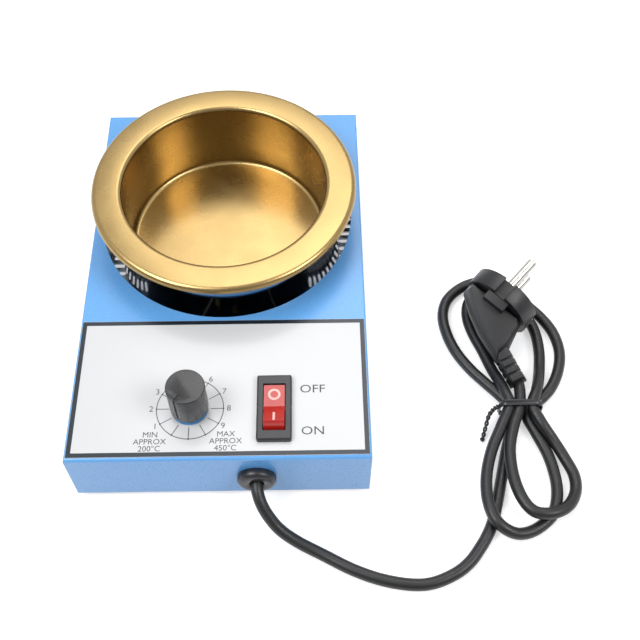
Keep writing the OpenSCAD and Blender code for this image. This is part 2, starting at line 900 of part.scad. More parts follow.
module switch_rocker() color("#d83a34") {
    at_switch() translate([0, 0, pivot_z]) {
        difference() {
            along_x(rocker_w) rocker_profile();
            translate([0, 0, -7]) cylinder(r = lamp_r + 0.05, h = 8);
        }
        for (s = [-1, 1]) {
            translate([s * rocker_w / 2, 0, 0]) rotate([0, 90 * s, 0]) {
                cylinder(r = pivot_r, h = rocker_gap + 0.8);
            }
        }
    }
}

module neon_lamp() color("#f2b27a") {
    at_switch() translate([0, 0, pivot_z - 5.8]) {
        cylinder(r = lamp_r, h = 5);
        translate([0, 0, 5]) cylinder(r1 = lamp_r, r2 = lamp_r / 2, h = 1.6);
    }
}

module switch_terminals() color("#c8a44d") {
    for (k = [-1 : 1]) {
        at_switch() translate([0, k * blade_y, blade_z + 4]) {
            difference() {
                cube([4.8, 0.8, 8], center = true);
                translate([0, 0, -1.5]) rotate([90, 0, 0]) cylinder(r = 0.8, h = 3, center = true);
            }
        }
    }
}

// ---- Mains lead ----

module cord_bushing() color("#232327") {
    barb_y = -sheet_t - 4.5;
    translate([bushing_x, front_y, bushing_z]) rotate([90, 0, 0]) rotate_extrude() {
        polygon([[bushing_bore, barb_y], [neck_r - 0.4, barb_y], [neck_r + 0.8, -sheet_t],
            [neck_r, -sheet_t], [neck_r, 0], [bushing_r, 0], [bushing_r, bushing_out - 1.6],
            [bushing_r - 0.2, bushing_out - 0.9], [bushing_r - 0.7, bushing_out - 0.3],
            [bushing_r - 1.5, bushing_out], [mouth_r, bushing_out],
            [bushing_bore, bushing_out - 2]]);
    }
}

module earth_screw() color("#c9ccd0") {
    translate([earth_at[0], earth_at[1], tray_z + tag_t]) rotate([180, 0, 0]) {
        pan_screw(tag_t + sheet_t + 1);
    }
}

module earth_tag() color("#c8a44d") {
    translate([earth_at[0], earth_at[1], tray_z]) difference() {
        union() {
            cylinder(r = tag_r, h = tag_t);
            translate([-1.5, -9, 0]) cube([3, 7, tag_t]);
        }
        translate([0, 0, -1]) cylinder(r = m3_r + hole_fit, h = tag_t + 2);
    }
}

module lead_live() color("#7a4a2b") {
    from = core_at + [1.7, 0, 0.6];
    swept(smooth([from, from + [0, 1.4, 0], from + [3.3, 4.5, -3.6], live_at + [-0.5, -2.5, -4],
        live_at + [0, 0, -3.4], live_at + [0, 0, -1.4], live_at], 2), lead_r, 8);
}

module lead_neutral() color("#2f6fb0") {
    from = core_at + [0.2, 0, -1.6];
    swept(smooth([from, from + [0, 1.4, 0], from + [-0.2, 5.7, -7.3],
        between(from, inlet_at, 0.69) + [0, -8, -4], inlet_at + [0, -6, 0], inlet_at + [0, 3, 0]], 3),
        lead_r, 8);
}

module lead_earth() color("#9cb03c") {
    from = core_at + [-1.7, 0, 0.2];
    swept(smooth([from, from + [0, 1.4, 0], from + [-4, 5, -7], tail_at + [-2, -25, 0],
        tail_at + [0, -11, 0], tail_at], 3), lead_r, 8);
}

module lead_switched() color("#3a3a3e") {
    swept(smooth([switched_at, switched_at + [0, 0, -2], switched_at + [-3, 1, -6],
        between(switched_at, board_in_at, 0.46) + [0, -4, -5], board_in_at + [5, -4, 3.4],
        board_in_at + [1, -0.6, 3.2], board_in_at + [0, 0, 1.6], board_in_at], 2), lead_r, 8);
}

module heater_lead_1() color("#d8cfb8") {
    stud = [pot_x - stud_x - stud_r - lead_r - 0.2, pot_y, under_z];
    swept(smooth([board_out_at, board_out_at + [0, 3.5, 0],
        along(board_out_at, stud, 0.2, under_z + 0.6) + [-4, 0, 0], along(board_out_at, stud, 0.46, under_z),
        along(board_out_at, stud, 0.83, under_z) + [1, 0, 0], stud], 3), lead_r, 8);
}

module heater_lead_2() color("#d8cfb8") {
    stud = [pot_x + stud_x + stud_r + lead_r + 0.2, pot_y, under_z];
    swept(smooth([outlet_at + [0, -3, 0], outlet_at + [0, 6, 0], along(outlet_at, stud, 0.23, under_z + 0.3),
        along(outlet_at, stud, 0.5, under_z) + [-4, 0, 0], along(outlet_at, stud, 0.84, under_z), stud], 3),
        lead_r, 8);
}

module power_cord() color("#202023") {
    swept(smooth(cord_route, 2), cord_r, 10);
}

// Outline of the folded hank, from above
module hank_outline() {
    hull() {
        translate(loop_a) circle(loop_a_r);
        translate(loop_b) circle(loop_b_r);
        translate(tie_at) circle(tie_r);
    }
    hull() {
        translate(loop_c) circle(loop_c_r);
        translate(tie_at) circle(tie_r);
    }
}

module cord_hank() color("#202023") {
    difference() {
        translate([0, 0, hank_floor]) linear_extrude(height = hank_h) hank_outline();
        translate([tie_at[0] - 20, tie_at[1] - tie_w / 2 - 0.5, -1]) {
            cube([40, tie_w + 1, tie_in + 1]);
        }
        at_plug() {
            plug_form(0.15);
            translate([-1, -plug_r - 4, -pin_gap / 2 - pin_d / 2 - 0.3]) {
                cube([2 * plug_r, 2 * plug_r + 8, 2 * plug_r]);
            }
        }
    }
}

// ---- Plug ----

// Slice of the plug's body: outline from above, at a height, drawn in by a margin
module plug_slice(points, z, t, margin) {
    translate([0, 0, z]) linear_extrude(height = t, center = true) offset(delta = -margin) {
        polygon(points);
    }
}

// Body and neck of the plug behind its flange
module plug_form(grow) {
    shell = [[-plug_t + 1, 16.8], [-14.1, 16.7], [-21, 7], [-26.3, -3.1], [-31.6, -18.4],
        [-22.2, -19.3], [-plug_t + 1, -15.1]];
    neck = [[-26, -8], [-31.6, -18.4], [-37.2, -32.6], [-28.9, -35.8], [-22.2, -19.3], [-20, -12]];
    rotate([0, -90, 0]) cylinder(r = plug_r + grow, h = plug_t);
    translate([-13.5 - grow, -guide_block_w / 2 - grow, -guide_block_z - grow]) {
        cube([13.5 - plug_t + 1 + 2 * grow, guide_block_w + 2 * grow, 2 * guide_block_z + 2 * grow]);
    }
    hull() {
        plug_slice(shell, 0, 4 + 2 * grow, -grow);
        plug_slice(shell, plug_half, 0.4, 2.4 - grow);
        plug_slice(shell, -plug_half, 0.4, 2.4 - grow);
    }
    hull() {
        plug_slice(neck, 0, 2 + 2 * grow, -grow);
        plug_slice(neck, neck_half, 0.4, 1.6 - grow);
        plug_slice(neck, -neck_half, 0.4, 1.6 - grow);
    }
}

module plug_body() color("#222226") {
    at_plug() difference() {
        plug_form(0);
        for (s = [-1, 1]) {
            translate([-6, 0, s * pin_gap / 2]) rotate([0, 90, 0]) {
                cylinder(r = pin_d / 2, h = 8);
            }
            translate([-plug_t - 1, -guide_w / 2, s * (plug_r - guide_deep / 2 + 1) - guide_deep / 2 - 1]) {
                cube([plug_t + 2, guide_w, guide_deep + 2]);
            }
            translate([-plug_t + 1, s * (plug_r - clip_t / 2) - 1, -clip_w / 2 - 0.1]) {
                cube([plug_t, 2, clip_w + 0.2]);
            }
        }
        for (k = [0 : 2]) {
            translate([-28.6 - k * 1.6, -22 - k * 3.5, 0]) rotate([0, 0, -22]) {
                difference() {
                    cube([20, 1.3, 20], center = true);
                    cube([6.5 - k * 0.8, 3, 7.6 - k * 0.6], center = true);
                }
            }
        }
    }
}

module plug_pins() color("#d5d7da") {
    at_plug() for (s = [-1, 1]) {
        translate([-6, 0, s * pin_gap / 2]) rotate([0, 90, 0]) {
            cylinder(r = pin_d / 2, h = pin_l + 6 - 1);
            translate([0, 0, pin_l + 5]) cylinder(r1 = pin_d / 2, r2 = pin_d / 2 - 1, h = 1);
        }
    }
}

module plug_earth_clips() color("#d5d7da") {
    at_plug() for (s = [-1, 1]) {
        translate([-plug_t + 1.2, s * (plug_r - clip_t / 2 - 0.5) - clip_t / 2, -clip_w / 2]) {
            cube([plug_t - 1.2, clip_t, clip_w]);
        }
    }
}

// Twisted end of the tie, lying out to the left of the bundle
tie_tail = [[-10.1, 0.4, 7.4], [-12, -0.6, 8.4], [-14, -2.4, 8.6], [-16, -5, 7.6],
    [-17.2, -8.5, 5], [-18.4, -12, 2.6], [-19.4, -15, 1.4]];

module twist_tie() color("#1b1b1d") {
    translate([tie_at[0], tie_at[1], 0]) swept(smooth(tie_tail, 3), 1.1, 8);
    translate([tie_at[0], tie_at[1], 0]) {
        along_y(tie_w) difference() {
            translate([0, (hank_h + hank_floor + tie_in) / 2]) {
                plan_profile(2 * (tie_half + tie_t), hank_h + hank_floor - tie_in + 2 * tie_t + 0.2, 1.6);
            }
            translate([0, (hank_h + hank_floor + tie_in) / 2]) {
                plan_profile(2 * tie_half, hank_h + hank_floor - tie_in + 0.2, 0.8);
            }
        }
    }
}

case_cover();
base_plate();
foot(0);  // foot_1
foot(1);  // foot_2
foot(2);  // foot_3
foot(3);  // foot_4
foot_screws();
cover_screws();
label_plate();
crucible();
heat_shield();
shield_spacer(0);  // shield_spacer_1
shield_spacer(1);  // shield_spacer_2
shield_spacer(2);  // shield_spacer_3
shield_screws();
heater_plate();
heater_studs();
insulation_ring();
insulation_disc();
control_board();
board_post(0);  // board_post_1
board_post(1);  // board_post_2
board_post(2);  // board_post_3
board_post(3);  // board_post_4
board_screws();
heatsink();
triac();
choke();
capacitor();
terminal_block();
potentiometer_body();
potentiometer_shaft();
potentiometer_washer();
potentiometer_nut();
knob();
switch_housing();
switch_rocker();
switch_terminals();
neon_lamp();
cord_bushing();
earth_screw();
earth_tag();
lead_live();
lead_neutral();
lead_earth();
lead_switched();
heater_lead_1();
heater_lead_2();
power_cord();
cord_hank();
plug_body();
plug_pins();
plug_earth_clips();
twist_tie();
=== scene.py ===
"""Solder pot: looks of the case, panel, gold-finished crucible, polished shield, lead and plug."""

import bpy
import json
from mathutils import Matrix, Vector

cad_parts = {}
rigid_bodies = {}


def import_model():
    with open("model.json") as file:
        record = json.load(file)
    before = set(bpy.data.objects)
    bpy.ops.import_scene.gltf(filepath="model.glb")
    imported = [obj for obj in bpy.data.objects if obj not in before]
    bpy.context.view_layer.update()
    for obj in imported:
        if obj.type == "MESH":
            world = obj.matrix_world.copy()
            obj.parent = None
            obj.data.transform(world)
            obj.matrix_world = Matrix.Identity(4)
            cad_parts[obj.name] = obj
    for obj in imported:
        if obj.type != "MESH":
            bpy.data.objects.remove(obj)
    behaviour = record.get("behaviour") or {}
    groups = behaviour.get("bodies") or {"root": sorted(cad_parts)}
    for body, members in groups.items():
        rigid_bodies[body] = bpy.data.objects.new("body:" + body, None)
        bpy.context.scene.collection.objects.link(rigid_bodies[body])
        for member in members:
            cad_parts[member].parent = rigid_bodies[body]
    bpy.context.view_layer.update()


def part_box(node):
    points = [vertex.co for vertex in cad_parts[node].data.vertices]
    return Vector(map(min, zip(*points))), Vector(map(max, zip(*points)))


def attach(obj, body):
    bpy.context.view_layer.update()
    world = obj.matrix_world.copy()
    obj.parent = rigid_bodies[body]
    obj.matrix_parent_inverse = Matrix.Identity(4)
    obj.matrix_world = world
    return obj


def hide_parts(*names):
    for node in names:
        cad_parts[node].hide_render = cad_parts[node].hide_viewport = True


bl_info = {
    "name": "Solder pot",
    "version": (1, 0, 0),
    "blender": (4, 5, 0),
    "location": "3D View > Sidebar > Solder pot",
    "description": "Dresses the packed frame of a solder pot, piece by piece",
    "category": "Object",
}

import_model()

import json
import math

import bmesh
import bpy
from bpy.props import FloatProperty, FloatVectorProperty, IntProperty, PointerProperty
from mathutils import Matrix, Vector

MM = 0.001

# Places that the pieces share, in metres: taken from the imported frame's own boxes
LABEL_LOW, LABEL_HIGH = (Vector(c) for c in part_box("label_plate"))
POT_LOW, POT_HIGH = (Vector(c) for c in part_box("crucible"))
KNOB_LOW, KNOB_HIGH = (Vector(c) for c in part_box("knob"))
ROCKER_LOW, ROCKER_HIGH = (Vector(c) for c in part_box("switch_rocker"))
BUSHING_LOW, BUSHING_HIGH = (Vector(c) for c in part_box("cord_bushing"))
CASE_LOW = Vector(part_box("case_cover")[0])
POT_X, POT_Y = (POT_LOW.x + POT_HIGH.x) / 2, (POT_LOW.y + POT_HIGH.y) / 2
RIM_Z = POT_HIGH.z
DIAL_X, DIAL_Y = (KNOB_LOW.x + KNOB_HIGH.x) / 2, (KNOB_LOW.y + KNOB_HIGH.y) / 2
SWITCH_X = (ROCKER_LOW.x + ROCKER_HIGH.x) / 2
PANEL_Z = LABEL_HIGH.z
# Rocker: its pivot, the height of its face above the pivot, and the tilt of its raised half
PIVOT_Y, PIVOT_Z = -0.0794, 0.0381
ROCKER_FACE, ROCKER_TILT = 0.003, math.radians(22.0)
TIE_MIDDLE = Vector((0.1422, -0.0635, 0.0))

# Camera: lens in millimetres, place in metres, and yaw, pitch and roll in degrees
LENS = 55.406
CAMERA_AT = (0.04234, -0.28702, 0.43009)
CAMERA_TURN = (0.7452, 56.934, -0.1154)
# Lamps: name, place in metres, size in metres, power in watts
LAMPS = (("key", (-0.55, -0.25, 1.0), 0.6, 9.0),
         ("fill", (0.75, -0.35, 0.9), 0.5, 6.0),
         ("top", (0.1, 0.6, 1.1), 0.7, 5.0))

# Dial figures and the turn of each in degrees; range words and their places in metres
DIAL_FIGURES = (("1", 210), ("2", 180), ("3", 150), ("4", 120), ("5", 90), ("6", 60),
                ("7", 30), ("8", 0), ("9", -30))
RANGE_WORDS = (("MIN", -0.0302, -0.0914), ("APPROX", -0.0302, -0.0948),
               ("200°C", -0.0302, -0.0982), ("MAX", 0.0032, -0.0914),
               ("APPROX", 0.0032, -0.0948), ("450°C", 0.0032, -0.0982))

# Route of the mains lead, in millimetres, from the bushing's mouth to the plug's neck
CORD_ROUTE = [
    (16.2, -104.2, 20.4), (16.4, -110.0, 19.6), (18.2, -115.5, 16.8), (21.5, -120.0, 12.5),
    (26.5, -124.5, 8.0), (34.4, -129.0, 4.6), (45.6, -134.5, 2.9), (58.5, -141.4, 2.9),
    (71.3, -146.2, 2.9), (84.2, -148.6, 2.9), (94.0, -148.0, 2.9), (104.0, -144.0, 2.9),
    (111.0, -138.8, 2.9), (116.5, -132.0, 2.9), (120.4, -126.0, 2.9), (123.4, -119.8, 2.9),
    (126.2, -111.0, 2.9), (129.6, -99.0, 2.9), (133.2, -86.0, 3.0), (136.8, -74.0, 3.4),
    (139.4, -63.5, 3.6), (134.2, -55.5, 3.4), (127.5, -47.6, 3.0), (120.6, -39.3, 2.9),
    (114.6, -29.5, 2.9), (110.9, -19.0, 2.9), (109.6, -8.0, 2.9), (112.2, 1.5, 2.9),
    (118.5, 8.5, 2.9), (126.0, 12.6, 2.9), (134.0, 13.8, 2.9), (142.0, 10.4, 2.9),
    (149.7, 3.7, 2.9), (155.5, -3.2, 2.9), (160.8, -10.0, 2.9), (165.3, -19.0, 2.9),
    (166.9, -30.0, 2.9), (164.6, -41.0, 2.9), (159.5, -51.0, 2.9), (153.2, -57.5, 2.9),
    (148.0, -61.5, 3.0), (145.6, -66.5, 3.2), (148.7, -75.0, 3.1), (153.1, -87.1, 2.9),
    (155.0, -99.9, 2.9), (154.0, -109.9, 2.9), (150.6, -117.6, 2.9), (142.5, -124.0, 3.0),
    (134.5, -126.6, 4.6), (127.9, -125.2, 7.2), (123.2, -120.4, 8.7), (121.0, -111.0, 8.7),
    (121.8, -99.5, 8.7), (125.6, -86.7, 8.7), (131.5, -74.5, 8.8), (136.6, -63.5, 8.9),
    (135.6, -56.0, 8.2), (133.8, -48.0, 5.8), (131.4, -40.0, 3.4), (128.0, -29.0, 2.9),
    (124.3, -19.0, 2.9), (122.3, -10.0, 2.9), (122.8, -2.0, 2.9), (126.0, 4.0, 2.9),
    (131.0, 7.6, 2.9), (136.8, 6.8, 2.9), (141.7, 3.2, 2.9), (145.5, -0.6, 2.9),
    (150.2, -5.8, 2.9), (154.2, -12.0, 2.9), (156.3, -20.0, 2.9), (156.6, -30.0, 2.9),
    (155.2, -40.0, 3.6), (153.2, -48.0, 6.4), (150.8, -55.5, 8.7), (147.8, -63.5, 9.0),
    (150.8, -72.0, 8.2), (156.2, -80.5, 5.0), (161.0, -89.5, 3.0), (163.9, -98.0, 2.9),
    (163.0, -106.5, 3.6), (157.8, -114.4, 6.4), (149.5, -118.6, 8.6), (141.5, -117.6, 8.8),
    (136.6, -110.6, 8.7), (134.0, -99.0, 8.7), (134.2, -86.0, 8.8), (137.5, -74.0, 8.9),
    (141.6, -63.5, 8.8), (142.8, -51.4, 7.8), (139.4, -44.8, 9.1),
]


# ---- Sizes and colours ----

def linear(code):
    """Linear colour of an sRGB hex value."""
    value = int(code.lstrip("#"), 16)
    parts = [(value >> shift & 255) / 255 for shift in (16, 8, 0)]
    return tuple(p / 12.92 if p <= 0.04045 else ((p + 0.055) / 1.055) ** 2.4 for p in parts)


class SolderPotSizes(bpy.types.PropertyGroup):
    """Sizes of the printed and fitted details."""

    cord_diameter: FloatProperty(
        name="Lead diameter", description="Diameter of the mains lead's jacket",
        default=0.0056, min=0.004, max=0.008, subtype="DISTANCE", unit="LENGTH")
    border: FloatProperty(
        name="Border", description="Width of the panel plate's printed border",
        default=0.0022, min=0.001, max=0.005, subtype="DISTANCE", unit="LENGTH")
    dial_radius: FloatProperty(
        name="Dial radius", description="Radius of the printed scale round the knob",
        default=0.015, min=0.012, max=0.02, subtype="DISTANCE", unit="LENGTH")
    dial_line: FloatProperty(
        name="Dial line", description="Width of the printed scale's lines",
        default=0.00032, min=0.0001, max=0.001, subtype="DISTANCE", unit="LENGTH")
    dial_steps: IntProperty(
        name="Dial steps", description="Number of lines round the scale",
        default=12, min=6, max=24)
    spin_steps: IntProperty(
        name="Spin steps", description="Facets round the spun crucible",
        default=192, min=48, max=256)
    tie_width: FloatProperty(
        name="Tie width", description="Width of the flat tie round the folded lead",
        default=0.003, min=0.002, max=0.006, subtype="DISTANCE", unit="LENGTH")


class SolderPotColours(bpy.types.PropertyGroup):
    """Colours of the main finishes."""

    case_blue: FloatVectorProperty(
        name="Case blue", description="Enamel of the folded case",
        default=linear("#5E9EDB"), size=3, min=0, max=1, subtype="COLOR")
    gold: FloatVectorProperty(
        name="Gold finish", description="Finish of the spun crucible",
        default=linear("#A48C5E"), size=3, min=0, max=1, subtype="COLOR")
    label: FloatVectorProperty(
        name="Panel plate", description="Ground colour of the printed plate",
        default=linear("#C6C7C9"), size=3, min=0, max=1, subtype="COLOR")
    rocker: FloatVectorProperty(
        name="Rocker red", description="Moulded colour of the lit rocker",
        default=linear("#B41C16"), size=3, min=0, max=1, subtype="COLOR")


# ---- Helpers ----

def add_node(tree, kind, settings=None, links=None):
    """Add one node with its settings, socket values and incoming links."""
    made = tree.nodes.new(kind)
    for key, value in (settings or {}).items():
        if isinstance(key, str) and hasattr(made, key):
            setattr(made, key, value)
        else:
            made.inputs[key].default_value = value
    for key, source in (links or {}).items():
        tree.links.new(source, made.inputs[key])
    return made


def finish(name, colour, shade, grain, rough, relief, metallic=0.0, coat=0.0, coat_rough=0.1,
           stretch=(1.0, 1.0, 1.0), spread=0.06, patch=0.02, glow=0.0):
    """Finish with drifting colour, uneven gloss and fine relief.

    grain and patch are real sizes in metres, relief is the relief's height in metres."""
    material = bpy.data.materials.new(name)
    material.use_nodes = True
    tree = material.node_tree
    tree.nodes.clear()
    place = add_node(tree, "ShaderNodeTexCoord").outputs["Object"]
    run = add_node(tree, "ShaderNodeMapping", {"Scale": stretch}, {"Vector": place})
    drift = add_node(tree, "ShaderNodeTexNoise", {"Scale": 1 / patch, "Detail": 3.0},
                     {"Vector": run.outputs[0]})
    tooth = add_node(tree, "ShaderNodeTexNoise", {"Scale": 1 / grain, "Detail": 4.0},
                     {"Vector": run.outputs[0]})
    tint = add_node(tree, "ShaderNodeMix", {"data_type": "RGBA"},
                    {0: drift.outputs["Fac"]})
    tint.inputs[6].default_value = (*shade, 1)
    tint.inputs[7].default_value = (*colour, 1)
    gloss = add_node(tree, "ShaderNodeMapRange",
                     {"From Min": 0.25, "From Max": 0.75, "To Min": max(rough - spread, 0.02),
                      "To Max": rough + spread}, {"Value": tooth.outputs["Fac"]})
    bump = add_node(tree, "ShaderNodeBump", {"Strength": 0.5, "Distance": relief},
                    {"Height": tooth.outputs["Fac"]})
    shader = add_node(tree, "ShaderNodeBsdfPrincipled",
                      {"Metallic": metallic, "IOR": 1.5, "Coat Weight": coat,
                       "Coat Roughness": coat_rough},
                      {"Base Color": tint.outputs[2], "Roughness": gloss.outputs[0],
                       "Normal": bump.outputs[0]})
    # glow: emission in the base colour; on the rocker this is a painted glow
    if glow:
        shader.inputs["Emission Color"].default_value = (*colour, 1)
        shader.inputs["Emission Strength"].default_value = glow
    add_node(tree, "ShaderNodeOutputMaterial", {}, {"Surface": shader.outputs[0]})
    return material


def dress(material, *nodes):
    """Give carried-over nodes a material, in every slot."""
    for name in nodes:
        for mesh_object in [o for o in bpy.data.objects if o.name == name]:
            if mesh_object.material_slots:
                for slot in mesh_object.material_slots:
                    slot.material = material
            else:
                mesh_object.data.materials.append(material)


def add_piece(name, mesh, material, body="case", smooth=35.0):
    """Put a finished mesh in the scene at the origin and ride it on a body."""
    if material is not None:
        mesh.materials.clear()
        mesh.materials.append(material)
    mesh.shade_smooth()
    mesh.set_sharp_from_angle(angle=math.radians(smooth))
    piece = bpy.data.objects.new(name, mesh)
    bpy.context.scene.collection.objects.link(piece)
    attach(piece, body)
    return piece


def mesh_from(shape, name):
    """Turn a bmesh into a mesh with outward faces."""
    bmesh.ops.remove_doubles(shape, verts=shape.verts, dist=1e-7)
    bmesh.ops.recalc_face_normals(shape, faces=shape.faces)
    mesh = bpy.data.meshes.new(name)
    shape.to_mesh(mesh)
    shape.free()
    return mesh


def spun(name, outline, centre, steps):
    """Closed outline of radius and height, in metres, spun round an upright axis."""
    shape = bmesh.new()
    rings = []
    for step in range(steps):
        turn = 2 * math.pi * step / steps
        rings.append([shape.verts.new((centre[0] + r * math.cos(turn),
                                       centre[1] + r * math.sin(turn), z)) if r > 1e-7 else None
                      for r, z in outline])
    poles = [shape.verts.new((centre[0], centre[1], z)) if r <= 1e-7 else None
             for r, z in outline]
    for step in range(steps):
        here, there = rings[step], rings[(step + 1) % steps]
        for k in range(len(outline)):
            m = (k + 1) % len(outline)
            corners = []
            for vert in (here[k] or poles[k], there[k] or poles[k], there[m] or poles[m],
                         here[m] or poles[m]):
                if vert not in corners:
                    corners.append(vert)
            if len(corners) > 2:
                shape.faces.new(corners)
    return mesh_from(shape, name)


def arc(centre_r, centre_z, radius, start, end, count):
    """Points of an arc in radius and height."""
    return [(centre_r + radius * math.cos(math.radians(start + (end - start) * k / count)),
             centre_z + radius * math.sin(math.radians(start + (end - start) * k / count)))
            for k in range(count + 1)]


def smooth_path(points, parts):
    """Smooth curve through points."""
    points = [Vector(p) for p in points]
    result = []
    last = len(points) - 1
    for i in range(last):
        a, b, c, d = points[max(i - 1, 0)], points[i], points[i + 1], points[min(i + 2, last)]
        for j in range(parts):
            t = j / parts
            result.append(0.5 * (2 * b + (c - a) * t + (2 * a - 5 * b + 4 * c - d) * t * t
                                 + (3 * b - a - 3 * c + d) * t * t * t))
    result.append(points[last])
    return result


def swept(name, path, section, closed=False, taper=None):
    """Section of (across, up) points swept along a path without twist."""
    shape = bmesh.new()
    count = len(path)
    ahead = [(path[(i + 1) % count if closed else min(i + 1, count - 1)]
              - path[(i - 1) % count if closed else max(i - 1, 0)]).normalized()
             for i in range(count)]
    side = ahead[0].cross(Vector((0.13, 0.21, 1))).normalized()
    rings = []
    for i in range(count):
        side = (side - side.dot(ahead[i]) * ahead[i]).normalized()
        up = ahead[i].cross(side)
        size = taper(i / (count - 1)) if taper else 1.0
        rings.append([shape.verts.new(path[i] + side * (x * size) + up * (y * size))
                      for x, y in section])
    for i in range(count if closed else count - 1):
        here, there = rings[i], rings[(i + 1) % count]
        for k in range(len(section)):
            m = (k + 1) % len(section)
            shape.faces.new((here[k], here[m], there[m], there[k]))
    if not closed:
        shape.faces.new(list(reversed(rings[0])))
        shape.faces.new(rings[-1])
    return mesh_from(shape, name)


def softened(name, node, width, segments, material, body="case", limit=32.0):
    """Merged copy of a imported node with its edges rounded, standing for that node."""
    source = bpy.data.objects[node]
    shape = bmesh.new()
    shape.from_mesh(source.data)
    bmesh.ops.remove_doubles(shape, verts=shape.verts, dist=2e-6)
    bmesh.ops.dissolve_limit(shape, angle_limit=math.radians(1.0), verts=shape.verts,
                             edges=shape.edges)
    mesh = bpy.data.meshes.new(name)
    shape.to_mesh(mesh)
    shape.free()
    rough = bpy.data.objects.new(name + "_rough", mesh)
    bpy.context.scene.collection.objects.link(rough)
    bevel = rough.modifiers.new("Round", "BEVEL")
    bevel.width = width
    bevel.segments = segments
    bevel.limit_method = "ANGLE"
    bevel.angle_limit = math.radians(limit)
    bevel.use_clamp_overlap = True
    held = rough.evaluated_get(bpy.context.evaluated_depsgraph_get())
    finished = bpy.data.meshes.new_from_object(held)
    bpy.data.objects.remove(rough)
    piece = add_piece(name, finished, material, body, 40.0)
    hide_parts(node)
    return piece


def lettered(words, material, name, body="case", thickness=0.00004):
    """Printed words as thin flat shapes: (text, x, y, z, letter size, width factor)."""
    joined = bmesh.new()
    for text, x, y, z, size, squeeze in words:
        curve = bpy.data.curves.new(name + "_text", "FONT")
        curve.body = text
        curve.size = size
        curve.extrude = thickness / 2
        curve.align_x = "CENTER"
        curve.align_y = "CENTER"
        curve.resolution_u = 3
        holder = bpy.data.objects.new(name + "_text", curve)
        bpy.context.scene.collection.objects.link(holder)
        bpy.context.view_layer.update()
        held = holder.evaluated_get(bpy.context.evaluated_depsgraph_get())
        mesh = bpy.data.meshes.new_from_object(held)
        mesh.transform(Matrix.Translation((x, y, z + thickness / 2))
                       @ Matrix.Diagonal((squeeze, 1, 1, 1)))
        joined.from_mesh(mesh)
        bpy.data.objects.remove(holder)
    mesh = bpy.data.meshes.new(name)
    joined.to_mesh(mesh)
    joined.free()
    return add_piece(name, mesh, material, body)


# ---- Finishes ----

def gold_finish():
    """Spun aluminium with a gold anodised finish: warm, satin, with faint turned rings."""
    material = bpy.data.materials.new("gold_anodised_aluminium")
    material.use_nodes = True
    tree = material.node_tree
    tree.nodes.clear()
    colour = bpy.context.scene.solder_pot_colours.gold
    place = add_node(tree, "ShaderNodeTexCoord").outputs["Object"]
    centred = add_node(tree, "ShaderNodeMapping", {"Location": (-POT_X, -POT_Y, 0)},
                       {"Vector": place})
    flat = add_node(tree, "ShaderNodeVectorMath", {"operation": "MULTIPLY", 1: (1, 1, 0)},
                    {0: centred.outputs[0]})
    radius = add_node(tree, "ShaderNodeVectorMath", {"operation": "LENGTH"},
                      {0: flat.outputs[0]})
    # Turned rings a third of a millimetre apart: wider than the real tool marks, so they show
    rings = add_node(tree, "ShaderNodeTexNoise",
                     {"noise_dimensions": "1D", "Scale": 2600.0, "Detail": 3.0},
                     {"W": radius.outputs["Value"]})
    stains = add_node(tree, "ShaderNodeTexNoise", {"Scale": 70.0, "Detail": 5.0},
                      {"Vector": place})
    pits = add_node(tree, "ShaderNodeTexNoise", {"Scale": 1400.0, "Detail": 2.0},
                    {"Vector": place})
    blend = add_node(tree, "ShaderNodeMix", {"data_type": "RGBA"},
                     {0: stains.outputs["Fac"]})
    blend.inputs[6].default_value = (colour[0] * 0.95, colour[1] * 0.93, colour[2] * 0.90, 1)
    blend.inputs[7].default_value = (colour[0] * 1.04, colour[1] * 1.04, colour[2] * 1.04, 1)
    gloss = add_node(tree, "ShaderNodeMapRange",
                     {"From Min": 0.3, "From Max": 0.7, "To Min": 0.24, "To Max": 0.32},
                     {"Value": stains.outputs["Fac"]})
    mixed = add_node(tree, "ShaderNodeMath", {"operation": "ADD"},
                     {0: rings.outputs["Fac"], 1: pits.outputs["Fac"]})
    bump = add_node(tree, "ShaderNodeBump", {"Strength": 0.16, "Distance": 0.00003},
                    {"Height": mixed.outputs[0]})
    shader = add_node(tree, "ShaderNodeBsdfPrincipled", {"Metallic": 1.0},
                      {"Base Color": blend.outputs[2], "Roughness": gloss.outputs[0],
                       "Normal": bump.outputs[0]})
    add_node(tree, "ShaderNodeOutputMaterial", {}, {"Surface": shader.outputs[0]})
    return material


